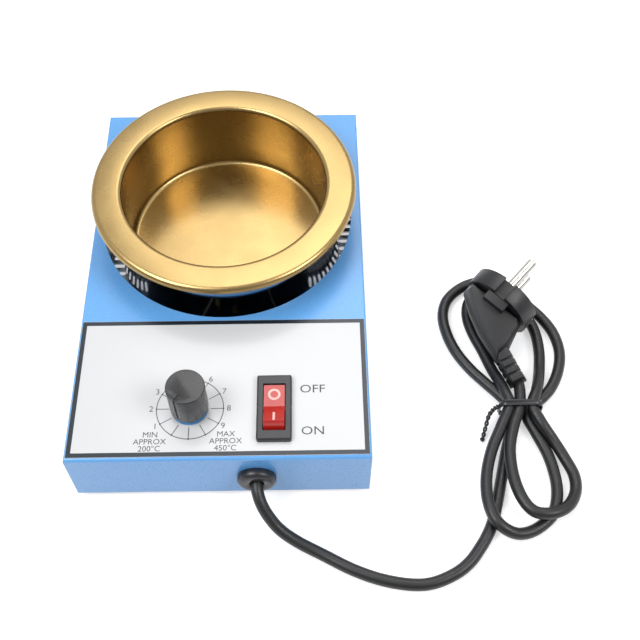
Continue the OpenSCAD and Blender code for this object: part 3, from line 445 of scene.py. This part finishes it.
def make_finishes():
    """Make every shared finish once and return them by name."""
    colours = bpy.context.scene.solder_pot_colours
    blue = tuple(colours.case_blue)
    red = tuple(colours.rocker)
    label = tuple(colours.label)
    return {
        # Powder-coated steel: even blue with slight orange peel of about 0.6 mm
        "enamel": finish("blue_powder_coat", blue, tuple(c * 0.9 for c in blue), 0.0006, 0.3,
                         0.000012, coat=0.25, coat_rough=0.18, patch=0.05),
        # Printed satin film: nearly white, fine tooth, takes soft reflections
        "film": finish("printed_film", label, tuple(c * 0.965 for c in label), 0.0004, 0.2,
                       0.000004, patch=0.03, spread=0.04),
        # Printing ink: flat near-black that takes the film's gloss
        "ink": finish("black_ink", linear("#12202C"), linear("#0A141D"), 0.0004, 0.3, 0.000004,
                      patch=0.01),
        "grey_ink": finish("grey_ink", linear("#2E3136"), linear("#3A3D42"), 0.0004, 0.35,
                           0.000004, patch=0.01),
        "pale_ink": finish("pale_ink", linear("#F2C4BE"), linear("#E3A8A0"), 0.0004, 0.4,
                           0.000004, patch=0.004),
        # Polished stainless steel: mirror with faint drawing lines up its height
        "mirror": finish("polished_stainless", linear("#B9BDC4"), linear("#A4A9B2"), 0.0012,
                         0.09, 0.000004, metallic=1.0, stretch=(1, 1, 0.08), spread=0.03),
        # Satin ABS: near-black moulding with a fine spark-eroded texture
        "abs": finish("black_abs", linear("#232327"), linear("#1B1B1E"), 0.0005, 0.34,
                      0.00001, patch=0.02),
        # Gloss phenolic knob: deep black with soft highlights
        "knob": finish("black_phenolic", linear("#17171A"), linear("#121214"), 0.0007, 0.3,
                       0.000008, coat=0.2, patch=0.006),
        # Soft PVC: dark, waxy jacket with drifting gloss
        "pvc": finish("black_pvc", linear("#19191B"), linear("#111113"), 0.0009, 0.42,
                      0.00002, patch=0.02, spread=0.1),
        "plug": finish("moulded_pvc", linear("#1B1B1E"), linear("#131315"), 0.0008, 0.4,
                       0.000016, patch=0.012, spread=0.08),
        # Translucent polycarbonate rocker: saturated red, mottled by the light inside it, with a
        # faint painted glow (emission) as though lit from inside
        "rocker": finish("red_polycarbonate_painted_glow", red, tuple(c * 0.72 for c in red), 0.0015, 0.22,
                         0.00002, coat=0.3, patch=0.003, glow=0.04),
        "rubber": finish("black_rubber", linear("#202022"), linear("#171718"), 0.0006, 0.7,
                         0.00003, patch=0.01),
        # Zinc-plated steel: cool grey with broad patches
        "zinc": finish("zinc_plate", linear("#A5A9AE"), linear("#8E9399"), 0.002, 0.4,
                       0.00001, metallic=1.0, patch=0.012),
        "nickel": finish("nickel_plate", linear("#C9C6C0"), linear("#B2AFA9"), 0.0012, 0.2,
                         0.000006, metallic=1.0, patch=0.008),
        "brass": finish("plain_brass", linear("#C9A55A"), linear("#A98845"), 0.0012, 0.3,
                        0.000008, metallic=1.0, patch=0.006),
        "mica": finish("mica_plate", linear("#8B8478"), linear("#6F695F"), 0.003, 0.35,
                       0.00002, patch=0.01),
        "felt": finish("ceramic_felt", linear("#E2DED2"), linear("#CDC8BA"), 0.0009, 0.9,
                       0.0002, patch=0.006),
        "board": finish("glass_epoxy", linear("#3A7647"), linear("#2E6439"), 0.0006, 0.35,
                        0.000008, patch=0.008),
        "fins": finish("extruded_aluminium", linear("#A9ADB3"), linear("#969AA1"), 0.0008, 0.35,
                       0.00001, metallic=1.0, stretch=(1, 1, 0.1)),
        "epoxy": finish("black_epoxy", linear("#242426"), linear("#1B1B1D"), 0.0005, 0.5,
                        0.00001),
        "copper": finish("enamelled_copper", linear("#B4652E"), linear("#8F4C20"), 0.0008, 0.25,
                         0.0001, metallic=0.8, stretch=(1, 1, 6)),
        "yellow": finish("polyester_case", linear("#CBA52B"), linear("#B8931F"), 0.0008, 0.4,
                         0.00001),
        "nylon": finish("white_nylon", linear("#E5E3DB"), linear("#D6D3C9"), 0.0007, 0.45,
                        0.00001),
        "lamp": finish("lamp_glass", linear("#F0B078"), linear("#D98F55"), 0.001, 0.1,
                       0.000004, glow=0.3),
        "brown": finish("brown_pvc", linear("#77482A"), linear("#633A20"), 0.0007, 0.4,
                        0.00001),
        "neutral": finish("blue_pvc", linear("#2F6FAF"), linear("#255C95"), 0.0007, 0.4,
                          0.00001),
        "earth": finish("striped_pvc", linear("#A9B83A"), linear("#4F8A3A"), 0.0007, 0.4,
                        0.00001, patch=0.003),
        "sleeve": finish("glass_sleeve", linear("#D9D1BC"), linear("#C4BAA2"), 0.0005, 0.7,
                         0.00006, patch=0.002),
        "gold": gold_finish(),
    }


FINISH = {}


# ---- Pieces ----

class SOLDERPOT_OT_stage(bpy.types.Operator):
    """Camera, floor, backdrop and soft studio light"""

    bl_idname = "solderpot.stage"
    bl_label = "Stage"

    def execute(self, context):
        scene = context.scene
        data = bpy.data.cameras.new("camera")
        data.lens = LENS
        data.sensor_width = 36
        data.clip_start = 0.01
        data.clip_end = 20
        camera = bpy.data.objects.new("camera", data)
        yaw, pitch, roll = (math.radians(v) for v in CAMERA_TURN)
        look = Vector((math.sin(yaw) * math.cos(pitch), math.cos(yaw) * math.cos(pitch),
                       -math.sin(pitch)))
        right = Vector((math.cos(yaw), -math.sin(yaw), 0))
        up = right.cross(look)
        right, up = (math.cos(roll) * right + math.sin(roll) * up,
                     math.cos(roll) * up - math.sin(roll) * right)
        turn = Matrix((right, up, -look)).transposed().to_4x4()
        camera.matrix_world = Matrix.Translation(CAMERA_AT) @ turn
        scene.collection.objects.link(camera)
        scene.camera = camera
        scene.view_settings.view_transform = "Standard"

        # Painted board floor: white to the eye and in metal, and it still takes the shadow
        floor = bpy.data.materials.new("painted_board")
        floor.use_nodes = True
        tree = floor.node_tree
        tree.nodes.clear()
        path = add_node(tree, "ShaderNodeLightPath")
        seen = add_node(tree, "ShaderNodeMath", {"operation": "MAXIMUM"},
                        {0: path.outputs["Is Camera Ray"], 1: path.outputs["Is Glossy Ray"]})
        seen = add_node(tree, "ShaderNodeMath", {"operation": "MAXIMUM"},
                        {0: seen.outputs[0], 1: path.outputs["Is Transmission Ray"]})
        level = add_node(tree, "ShaderNodeMath", {"operation": "MULTIPLY", 1: 0.5},
                         {0: seen.outputs[0]})
        paint = add_node(tree, "ShaderNodeBsdfDiffuse", {"Color": (*linear("#D6D7D9"), 1)})
        lift = add_node(tree, "ShaderNodeEmission", {"Color": (1, 1, 1, 1)},
                        {"Strength": level.outputs[0]})
        both = add_node(tree, "ShaderNodeAddShader", {},
                        {0: paint.outputs[0], 1: lift.outputs[0]})
        add_node(tree, "ShaderNodeOutputMaterial", {}, {"Surface": both.outputs[0]})
        shape = bmesh.new()
        bmesh.ops.create_grid(shape, x_segments=1, y_segments=1, size=3.0)
        mesh = bpy.data.meshes.new("floor")
        shape.to_mesh(mesh)
        shape.free()
        mesh.transform(Matrix.Translation((0, 0, -0.0001)))
        mesh.materials.append(floor)
        ground = bpy.data.objects.new("floor", mesh)
        scene.collection.objects.link(ground)

        # World: white where it is seen, a plain soft grey as light, darker behind the camera
        world = bpy.data.worlds.new("studio")
        scene.world = world
        world.use_nodes = True
        tree = world.node_tree
        tree.nodes.clear()
        path = add_node(tree, "ShaderNodeLightPath")
        way = add_node(tree, "ShaderNodeTexCoord").outputs["Generated"]
        split = add_node(tree, "ShaderNodeSeparateXYZ", {}, {0: way})
        front = add_node(tree, "ShaderNodeMapRange",
                         {"interpolation_type": "SMOOTHSTEP", "From Min": -0.85,
                          "From Max": 0.1, "To Min": 0.2, "To Max": 0.9},
                         {"Value": split.outputs["Y"]})
        glossy = add_node(tree, "ShaderNodeMath", {"operation": "MULTIPLY"},
                          {0: path.outputs["Is Glossy Ray"], 1: front.outputs[0]})
        seen = add_node(tree, "ShaderNodeMath", {"operation": "MAXIMUM"},
                        {0: path.outputs["Is Camera Ray"], 1: glossy.outputs[0]})
        seen = add_node(tree, "ShaderNodeMath", {"operation": "MAXIMUM"},
                        {0: seen.outputs[0], 1: path.outputs["Is Transmission Ray"]})
        level = add_node(tree, "ShaderNodeMath", {"operation": "MAXIMUM", 1: 0.42},
                         {0: seen.outputs[0]})
        back = add_node(tree, "ShaderNodeBackground", {"Color": (1, 1, 1, 1)},
                        {"Strength": level.outputs[0]})
        add_node(tree, "ShaderNodeOutputWorld", {}, {"Surface": back.outputs[0]})

        for name, spot, size, power in LAMPS:
            lamp = bpy.data.lights.new(name, "AREA")
            lamp.energy = power
            lamp.size = size
            holder = bpy.data.objects.new(name, lamp)
            aim = Vector((0, 0, 0.03)) - Vector(spot)
            holder.matrix_world = (Matrix.Translation(spot)
                                   @ aim.to_track_quat("-Z", "Y").to_matrix().to_4x4())
            scene.collection.objects.link(holder)
        return {"FINISHED"}


class SOLDERPOT_OT_lead(bpy.types.Operator):
    """Mains lead: one length from the bushing, folded into a hank, to the plug's neck"""

    bl_idname = "solderpot.lead"
    bl_label = "Mains lead"

    def execute(self, context):
        sizes = context.scene.solder_pot_sizes
        points = smooth_path([Vector(p) * MM for p in CORD_ROUTE], 6)
        curve = bpy.data.curves.new("mains_lead", "CURVE")
        curve.dimensions = "3D"
        spline = curve.splines.new("POLY")
        spline.points.add(len(points) - 1)
        for point, place in zip(spline.points, points):
            point.co = (*place, 1)
        spline.use_smooth = True
        curve.bevel_depth = sizes.cord_diameter / 2
        curve.bevel_resolution = 6
        curve.use_fill_caps = True
        curve.materials.append(FINISH["pvc"])
        lead = bpy.data.objects.new("mains_lead", curve)
        context.scene.collection.objects.link(lead)
        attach(lead, "case")
        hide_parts("power_cord", "cord_hank")
        return {"FINISHED"}


class SOLDERPOT_OT_bushing(bpy.types.Operator):
    """Clamping bushing: rounded nylon head against the front, with the lead's mouth in it"""

    bl_idname = "solderpot.bushing"
    bl_label = "Bushing"

    def execute(self, context):
        low, high = BUSHING_LOW, BUSHING_HIGH
        centre = Vector(((low.x + high.x) / 2, 0, (low.z + high.z) / 2))
        face = CASE_LOW.y
        reach = face - low.y
        bore = 0.00285
        head = (high.x - low.x) / 2
        neck = 0.0061
        # Half outline, radius and distance in front of the case: rounded shoulders
        outline = ([(bore, -0.0055), (neck - 0.0003, -0.0055), (neck + 0.0006, -0.001),
                    (neck, -0.001), (neck, 0.0), (head - 0.0003, 0.0), (head, 0.0004)]
                   + arc(head - 0.0026, reach - 0.0026, 0.0026, 0, 78, 8)
                   + [(head - 0.0036, reach), (0.0042, reach - 0.0002)]
                   + arc(0.0042, reach - 0.0015, 0.00125, 90, 180, 4))
        mesh = spun("bushing", outline, (0, 0), 72)
        mesh.transform(Matrix.Translation((centre.x, face, centre.z))
                       @ Matrix.Rotation(math.radians(90), 4, "X"))
        piece = add_piece("bushing", mesh, FINISH["abs"], smooth=40)
        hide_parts("cord_bushing")
        return {"FINISHED"}


class SOLDERPOT_OT_plug(bpy.types.Operator):
    """Angled plug with its pins and earth clips, every moulded edge rounded"""

    bl_idname = "solderpot.plug"
    bl_label = "Plug"

    def execute(self, context):
        piece = softened("moulded_plug", "plug_body", 0.0007, 3, FINISH["plug"], limit=24.0)
        dress(FINISH["nickel"], "plug_pins", "plug_earth_clips")
        return {"FINISHED"}


class SOLDERPOT_OT_tie(bpy.types.Operator):
    """Flat wire tie round the folded lead, its ends twisted together at the left"""

    bl_idname = "solderpot.tie"
    bl_label = "Tie"

    def execute(self, context):
        sizes = context.scene.solder_pot_sizes
        half, top, bottom, corner = 0.01025, 0.01235, 0.00045, 0.0035
        loop = []
        for cx, cz, start in ((half - corner, top - corner, 0), (-half + corner, top - corner, 90),
                              (-half + corner, bottom + corner, 180),
                              (half - corner, bottom + corner, 270)):
            for k in range(7):
                turn = math.radians(start + 15 * k)
                loop.append(TIE_MIDDLE + Vector((cx + corner * math.cos(turn), 0,
                                             cz + corner * math.sin(turn))))
        wide, thick = sizes.tie_width / 2, 0.00035
        band = []
        ring = bmesh.new()
        rings = []
        for i, point in enumerate(loop):
            out = (loop[(i + 1) % len(loop)] - loop[i - 1]).normalized().cross(Vector((0, -1, 0)))
            out = -out if out.dot(point - TIE_MIDDLE - Vector((0, 0, 0.006))) < 0 else out
            rings.append([ring.verts.new(point + Vector((0, y, 0)) + out * t) for y, t in
                          ((-wide, -thick), (-wide, thick * 0.3), (-wide * 0.35, thick * 0.5),
                           (0, thick * 1.6), (wide * 0.35, thick * 0.5), (wide, thick * 0.3),
                           (wide, -thick))])
        for i in range(len(rings)):
            here, there = rings[i], rings[(i + 1) % len(rings)]
            for k in range(7):
                m = (k + 1) % 7
                ring.faces.new((here[k], here[m], there[m], there[k]))
        band.append(mesh_from(ring, "tie_band"))
        tail = smooth_path([TIE_MIDDLE + Vector(p) * MM for p in
                            ((-10.1, 0.4, 7.4), (-12, -0.6, 8.4), (-14, -2.4, 8.6),
                             (-16, -5, 7.6), (-17.2, -8.5, 5), (-18.4, -12, 2.6),
                             (-19.4, -15, 1.4))], 8)
        for phase in (0.0, math.pi):
            path = []
            for i, point in enumerate(tail):
                turn = phase + i * 0.62
                ahead = (tail[min(i + 1, len(tail) - 1)] - tail[max(i - 1, 0)]).normalized()
                side = ahead.cross(Vector((0, 0, 1))).normalized()
                up = side.cross(ahead)
                path.append(point + (side * math.cos(turn) + up * math.sin(turn)) * 0.00062)
            section = [(0.00058 * math.cos(a * math.pi / 4), 0.00052 * math.sin(a * math.pi / 4))
                       for a in range(8)]
            band.append(swept("tie_strand", path, section))
        joined = bmesh.new()
        for mesh in band:
            joined.from_mesh(mesh)
        mesh = bpy.data.meshes.new("tie")
        joined.to_mesh(mesh)
        joined.free()
        piece = add_piece("tie", mesh, FINISH["abs"], smooth=50)
        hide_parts("twist_tie")
        return {"FINISHED"}


class SOLDERPOT_OT_crucible(bpy.types.Operator):
    """Spun crucible with its lip, flat rim and rolled edge"""

    bl_idname = "solderpot.crucible"
    bl_label = "Crucible"

    def execute(self, context):
        steps = context.scene.solder_pot_sizes.spin_steps
        floor_z, under_z, bore, sheet = RIM_Z - 0.0407, RIM_Z - 0.0417, 0.05, 0.001
        lip, roll, cove = 0.0023, 0.0027, 0.0025
        edge = (POT_HIGH.x - POT_LOW.x) / 2
        flat_out = edge - roll
        inner = ([(0.0, floor_z), (0.02, floor_z), (0.04, floor_z)]
                 + arc(bore - cove, floor_z + cove, cove, -90, 0, 8)
                 + [(bore, floor_z + 0.015)]
                 + arc(bore + lip, RIM_Z - lip, lip, 180, 90, 8)
                 + arc(flat_out, RIM_Z - roll, roll, 90, 0, 10))
        outer = (arc(flat_out, RIM_Z - roll, roll - sheet, 0, 90, 10)
                 + arc(bore + lip, RIM_Z - lip, lip - sheet, 90, 180, 8)
                 + arc(bore - cove, floor_z + cove, cove + sheet, 0, -90, 8)
                 + [(0.02, under_z), (0.0, under_z)])
        mesh = spun("spun_crucible", inner + outer, (POT_X, POT_Y), steps)
        piece = add_piece("spun_crucible", mesh, FINISH["gold"], smooth=45)
        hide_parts("crucible")
        return {"FINISHED"}


class SOLDERPOT_OT_case(bpy.types.Operator):
    """Enamelled cover, tray, feet, shield and everything inside"""

    bl_idname = "solderpot.case"
    bl_label = "Case and works"

    def execute(self, context):
        for finish_name, nodes in (
                ("enamel", ("case_cover",)),
                ("zinc", ("base_plate", "foot_screws", "cover_screws", "shield_screws",
                          "shield_spacer_1", "shield_spacer_2", "shield_spacer_3",
                          "heater_studs", "board_screws", "potentiometer_body",
                          "potentiometer_shaft", "potentiometer_washer", "earth_screw")),
                ("rubber", ("foot_1", "foot_2", "foot_3", "foot_4")),
                ("mica", ("heater_plate",)),
                ("felt", ("insulation_ring", "insulation_disc")),
                ("board", ("control_board",)),
                ("brass", ("board_post_1", "board_post_2", "board_post_3", "board_post_4",
                           "switch_terminals", "earth_tag")),
                ("fins", ("heatsink",)),
                ("epoxy", ("triac", "potentiometer_nut", "lead_switched")),
                ("copper", ("choke",)),
                ("yellow", ("capacitor",)),
                ("nylon", ("terminal_block",)),
                ("lamp", ("neon_lamp",)),
                ("brown", ("lead_live",)),
                ("neutral", ("lead_neutral",)),
                ("earth", ("lead_earth",)),
                ("sleeve", ("heater_lead_1", "heater_lead_2")),
                ("film", ("label_plate",))):
            dress(FINISH[finish_name], *nodes)
        low, high = (Vector(c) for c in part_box("heat_shield"))
        outer = (high.x - low.x) / 2
        sheet = 0.0008
        foot, rise = low.z + 0.0015, high.z - low.z - 0.002
        wall = ([(outer, foot + rise * k / 6) for k in range(7)]
                + [(outer - sheet * 0.3, high.z), (outer - sheet * 0.7, high.z),
                   (outer - sheet, high.z - 0.0003)]
                + [(outer - sheet, low.z + sheet), (0.022, low.z + sheet), (0.0, low.z + sheet),
                   (0.0, low.z), (0.022, low.z), (outer - 0.0015, low.z)])
        mesh = spun("drawn_shield", wall, (POT_X, POT_Y), 160)
        piece = add_piece("drawn_shield", mesh, FINISH["mirror"], smooth=35)
        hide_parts("heat_shield")
        return {"FINISHED"}


class SOLDERPOT_OT_print(bpy.types.Operator):
    """Printed border, dial scale, figures and plain words of the panel plate"""

    bl_idname = "solderpot.print"
    bl_label = "Panel print"

    def execute(self, context):
        sizes = context.scene.solder_pot_sizes
        # Border: frame of ink along the plate's four edges
        low, high, width = LABEL_LOW, LABEL_HIGH, sizes.border
        inset = 0.0001
        frame_shape = bmesh.new()
        rings = []
        for step, z in ((inset, 0.0), (inset, 0.00005), (width, 0.00005), (width, 0.0)):
            rings.append([frame_shape.verts.new((x, y, PANEL_Z + z)) for x, y in (
                (low.x + step, low.y + step), (high.x - step, low.y + step),
                (high.x - step, high.y - step), (low.x + step, high.y - step))])
        for i in range(4):
            here, there = rings[i], rings[(i + 1) % 4]
            for k in range(4):
                m = (k + 1) % 4
                frame_shape.faces.new((here[k], here[m], there[m], there[k]))
        border = add_piece("border_print", mesh_from(frame_shape, "border_print"), FINISH["ink"])

        scale = self.scale(context, sizes)

        radius = sizes.dial_radius + 0.0024
        words = []
        for text, turn in DIAL_FIGURES:
            words.append((text, DIAL_X + radius * math.cos(math.radians(turn)),
                          DIAL_Y + radius * math.sin(math.radians(turn)), PANEL_Z, 0.0040, 1.0))
        for text, x, y in RANGE_WORDS:
            words.append((text, x, y, PANEL_Z, 0.0038, 1.0))
        small = lettered(words, FINISH["grey_ink"], "dial_figures")
        large = lettered([("OFF", 0.0417, -0.0693, PANEL_Z, 0.0058, 1.15),
                          ("ON", 0.0417, -0.0904, PANEL_Z, 0.0058, 1.15)],
                         FINISH["grey_ink"], "switch_words")
        return {"FINISHED"}

    def scale(self, context, sizes):
        """Scale round the knob: spokes and dots set round a circle by Geometry Nodes."""
        tree = bpy.data.node_groups.new("dial_scale", "GeometryNodeTree")
        face = tree.interface
        face.new_socket(name="Geometry", in_out="OUTPUT", socket_type="NodeSocketGeometry")
        wanted = (("Steps", "NodeSocketInt", sizes.dial_steps),
                  ("Radius", "NodeSocketFloat", sizes.dial_radius),
                  ("Line", "NodeSocketFloat", sizes.dial_line))
        sockets = {}
        for name, kind, value in wanted:
            socket = face.new_socket(name=name, in_out="INPUT", socket_type=kind)
            socket.default_value = value
            sockets[name] = socket.identifier
        given = add_node(tree, "NodeGroupInput")
        length = add_node(tree, "ShaderNodeMath", {"operation": "MULTIPLY", 1: 0.38},
                          {0: given.outputs["Radius"]})
        size = add_node(tree, "ShaderNodeCombineXYZ", {"Z": 0.00004},
                        {"X": length.outputs[0], "Y": given.outputs["Line"]})
        spoke = add_node(tree, "GeometryNodeMeshCube", {}, {"Size": size.outputs[0]})
        back = add_node(tree, "ShaderNodeMath", {"operation": "MULTIPLY", 1: -0.19},
                        {0: given.outputs["Radius"]})
        shift = add_node(tree, "ShaderNodeCombineXYZ", {}, {"X": back.outputs[0]})
        moved = add_node(tree, "GeometryNodeTransform", {},
                         {"Geometry": spoke.outputs["Mesh"], "Translation": shift.outputs[0]})
        dot_r = add_node(tree, "ShaderNodeMath", {"operation": "MULTIPLY", 1: 1.25},
                         {0: given.outputs["Line"]})
        dot = add_node(tree, "GeometryNodeMeshCylinder", {"Vertices": 16, "Depth": 0.00006},
                       {"Radius": dot_r.outputs[0]})
        mark = add_node(tree, "GeometryNodeJoinGeometry")
        tree.links.new(moved.outputs[0], mark.inputs[0])
        tree.links.new(dot.outputs["Mesh"], mark.inputs[0])
        circle = add_node(tree, "GeometryNodeMeshCircle", {},
                          {"Vertices": given.outputs["Steps"], "Radius": given.outputs["Radius"]})
        place = add_node(tree, "GeometryNodeInputPosition")
        turn = add_node(tree, "FunctionNodeAlignRotationToVector", {"axis": "X"},
                        {"Vector": place.outputs[0]})
        marks = add_node(tree, "GeometryNodeInstanceOnPoints", {},
                         {"Points": circle.outputs["Mesh"], "Instance": mark.outputs[0],
                          "Rotation": turn.outputs[0]})
        rim = add_node(tree, "GeometryNodeCurvePrimitiveCircle", {"Resolution": 96},
                       {"Radius": given.outputs["Radius"]})
        half = add_node(tree, "ShaderNodeMath", {"operation": "MULTIPLY", 1: 0.6},
                        {0: given.outputs["Line"]})
        bead = add_node(tree, "GeometryNodeCurvePrimitiveCircle", {"Resolution": 6},
                        {"Radius": half.outputs[0]})
        hoop = add_node(tree, "GeometryNodeCurveToMesh", {},
                        {"Curve": rim.outputs["Curve"], "Profile Curve": bead.outputs["Curve"]})
        pressed = add_node(tree, "GeometryNodeTransform", {"Scale": (1, 1, 0.15)},
                           {"Geometry": hoop.outputs[0]})
        both = add_node(tree, "GeometryNodeJoinGeometry")
        tree.links.new(marks.outputs[0], both.inputs[0])
        tree.links.new(pressed.outputs[0], both.inputs[0])
        real = add_node(tree, "GeometryNodeRealizeInstances", {}, {"Geometry": both.outputs[0]})
        inked = add_node(tree, "GeometryNodeSetMaterial", {"Material": FINISH["grey_ink"]},
                         {"Geometry": real.outputs[0]})
        out = add_node(tree, "NodeGroupOutput")
        tree.links.new(inked.outputs[0], out.inputs[0])

        holder = bpy.data.objects.new("dial_scale_maker", bpy.data.meshes.new("dial_scale_maker"))
        context.scene.collection.objects.link(holder)
        modifier = holder.modifiers.new("Dial scale", "NODES")
        modifier.node_group = tree
        modifier[sockets["Steps"]] = sizes.dial_steps
        modifier[sockets["Radius"]] = sizes.dial_radius
        modifier[sockets["Line"]] = sizes.dial_line
        held = holder.evaluated_get(context.evaluated_depsgraph_get())
        mesh = bpy.data.meshes.new_from_object(held)
        bpy.data.objects.remove(holder)
        mesh.transform(Matrix.Translation((DIAL_X, DIAL_Y, PANEL_Z + 0.00003)))
        return add_piece("dial_scale", mesh, FINISH["grey_ink"])


class SOLDERPOT_OT_knob(bpy.types.Operator):
    """Control knob with rounded edges"""

    bl_idname = "solderpot.knob"
    bl_label = "Knob"

    def execute(self, context):
        piece = softened("control_knob", "knob", 0.00025, 2, FINISH["knob"], "knob", 40.0)
        return {"FINISHED"}


class SOLDERPOT_OT_switch(bpy.types.Operator):
    """Rocker of the lit kind with a faint painted glow, its two marks, in its moulded bezel"""

    bl_idname = "solderpot.switch"
    bl_label = "Switch"

    def execute(self, context):
        dress(FINISH["abs"], "switch_housing")
        dress(FINISH["rocker"], "switch_rocker")
        # Ring on the lower half, bar on the raised half
        ring = bmesh.new()
        rings = []
        for step in range(40):
            turn = 2 * math.pi * step / 40
            rings.append([ring.verts.new((SWITCH_X + r * math.cos(turn),
                                          -0.0733 + r * math.sin(turn), PIVOT_Z + ROCKER_FACE + z))
                          for r, z in ((0.0018, 0), (0.0018, 0.00005), (0.0028, 0.00005),
                                       (0.0028, 0))])
        for step in range(40):
            here, there = rings[step], rings[(step + 1) % 40]
            for k in range(4):
                m = (k + 1) % 4
                ring.faces.new((here[k], there[k], there[m], here[m]))
        bar = bmesh.new()
        bmesh.ops.create_cube(bar, size=1.0)
        bar_mesh = bpy.data.meshes.new("bar")
        bar.to_mesh(bar_mesh)
        bar.free()
        along = 0.0066
        bar_mesh.transform(
            Matrix.Translation((SWITCH_X, PIVOT_Y, PIVOT_Z + ROCKER_FACE))
            @ Matrix.Rotation(-ROCKER_TILT, 4, "X")
            @ Matrix.Translation((0, -along, 0.00002))
            @ Matrix.Diagonal((0.001, 0.0052, 0.00006, 1)))
        ring_mesh = mesh_from(ring, "ring")
        joined = bmesh.new()
        joined.from_mesh(ring_mesh)
        joined.from_mesh(bar_mesh)
        mesh = bpy.data.meshes.new("rocker_marks")
        joined.to_mesh(mesh)
        joined.free()
        marks = add_piece("rocker_marks", mesh, FINISH["pale_ink"], "rocker")
        return {"FINISHED"}


class SOLDERPOT_PT_panel(bpy.types.Panel):
    """Sizes, colours and pieces of the solder pot"""

    bl_idname = "SOLDERPOT_PT_panel"
    bl_label = "Solder pot"
    bl_space_type = "VIEW_3D"
    bl_region_type = "UI"
    bl_category = "Solder pot"

    def draw(self, context):
        layout = self.layout
        for group in (context.scene.solder_pot_sizes, context.scene.solder_pot_colours):
            for name in group.__annotations__:
                layout.prop(group, name)
        for operator in OPERATORS:
            layout.operator(operator.bl_idname)


# The camera comes first, and the pieces on the lead just before it
OPERATORS = (SOLDERPOT_OT_stage, SOLDERPOT_OT_plug, SOLDERPOT_OT_tie, SOLDERPOT_OT_bushing,
             SOLDERPOT_OT_lead, SOLDERPOT_OT_crucible, SOLDERPOT_OT_case, SOLDERPOT_OT_print,
             SOLDERPOT_OT_knob, SOLDERPOT_OT_switch)
CLASSES = (SolderPotSizes, SolderPotColours, *OPERATORS, SOLDERPOT_PT_panel)


def register():
    """Register the classes and the scene's two groups of values."""
    for item in CLASSES:
        bpy.utils.register_class(item)
    bpy.types.Scene.solder_pot_sizes = PointerProperty(type=SolderPotSizes)
    bpy.types.Scene.solder_pot_colours = PointerProperty(type=SolderPotColours)


def unregister():
    """Take them away again."""
    del bpy.types.Scene.solder_pot_sizes
    del bpy.types.Scene.solder_pot_colours
    for item in reversed(CLASSES):
        bpy.utils.unregister_class(item)


def main():
    """Make the pieces in order."""
    register()
    FINISH.update(make_finishes())
    for operator in OPERATORS:
        group, name = operator.bl_idname.split(".")
        if getattr(getattr(bpy.ops, group), name)() != {"FINISHED"}:
            raise RuntimeError(operator.bl_label + " wasn't finished")


if __name__ == "__main__":
    main()
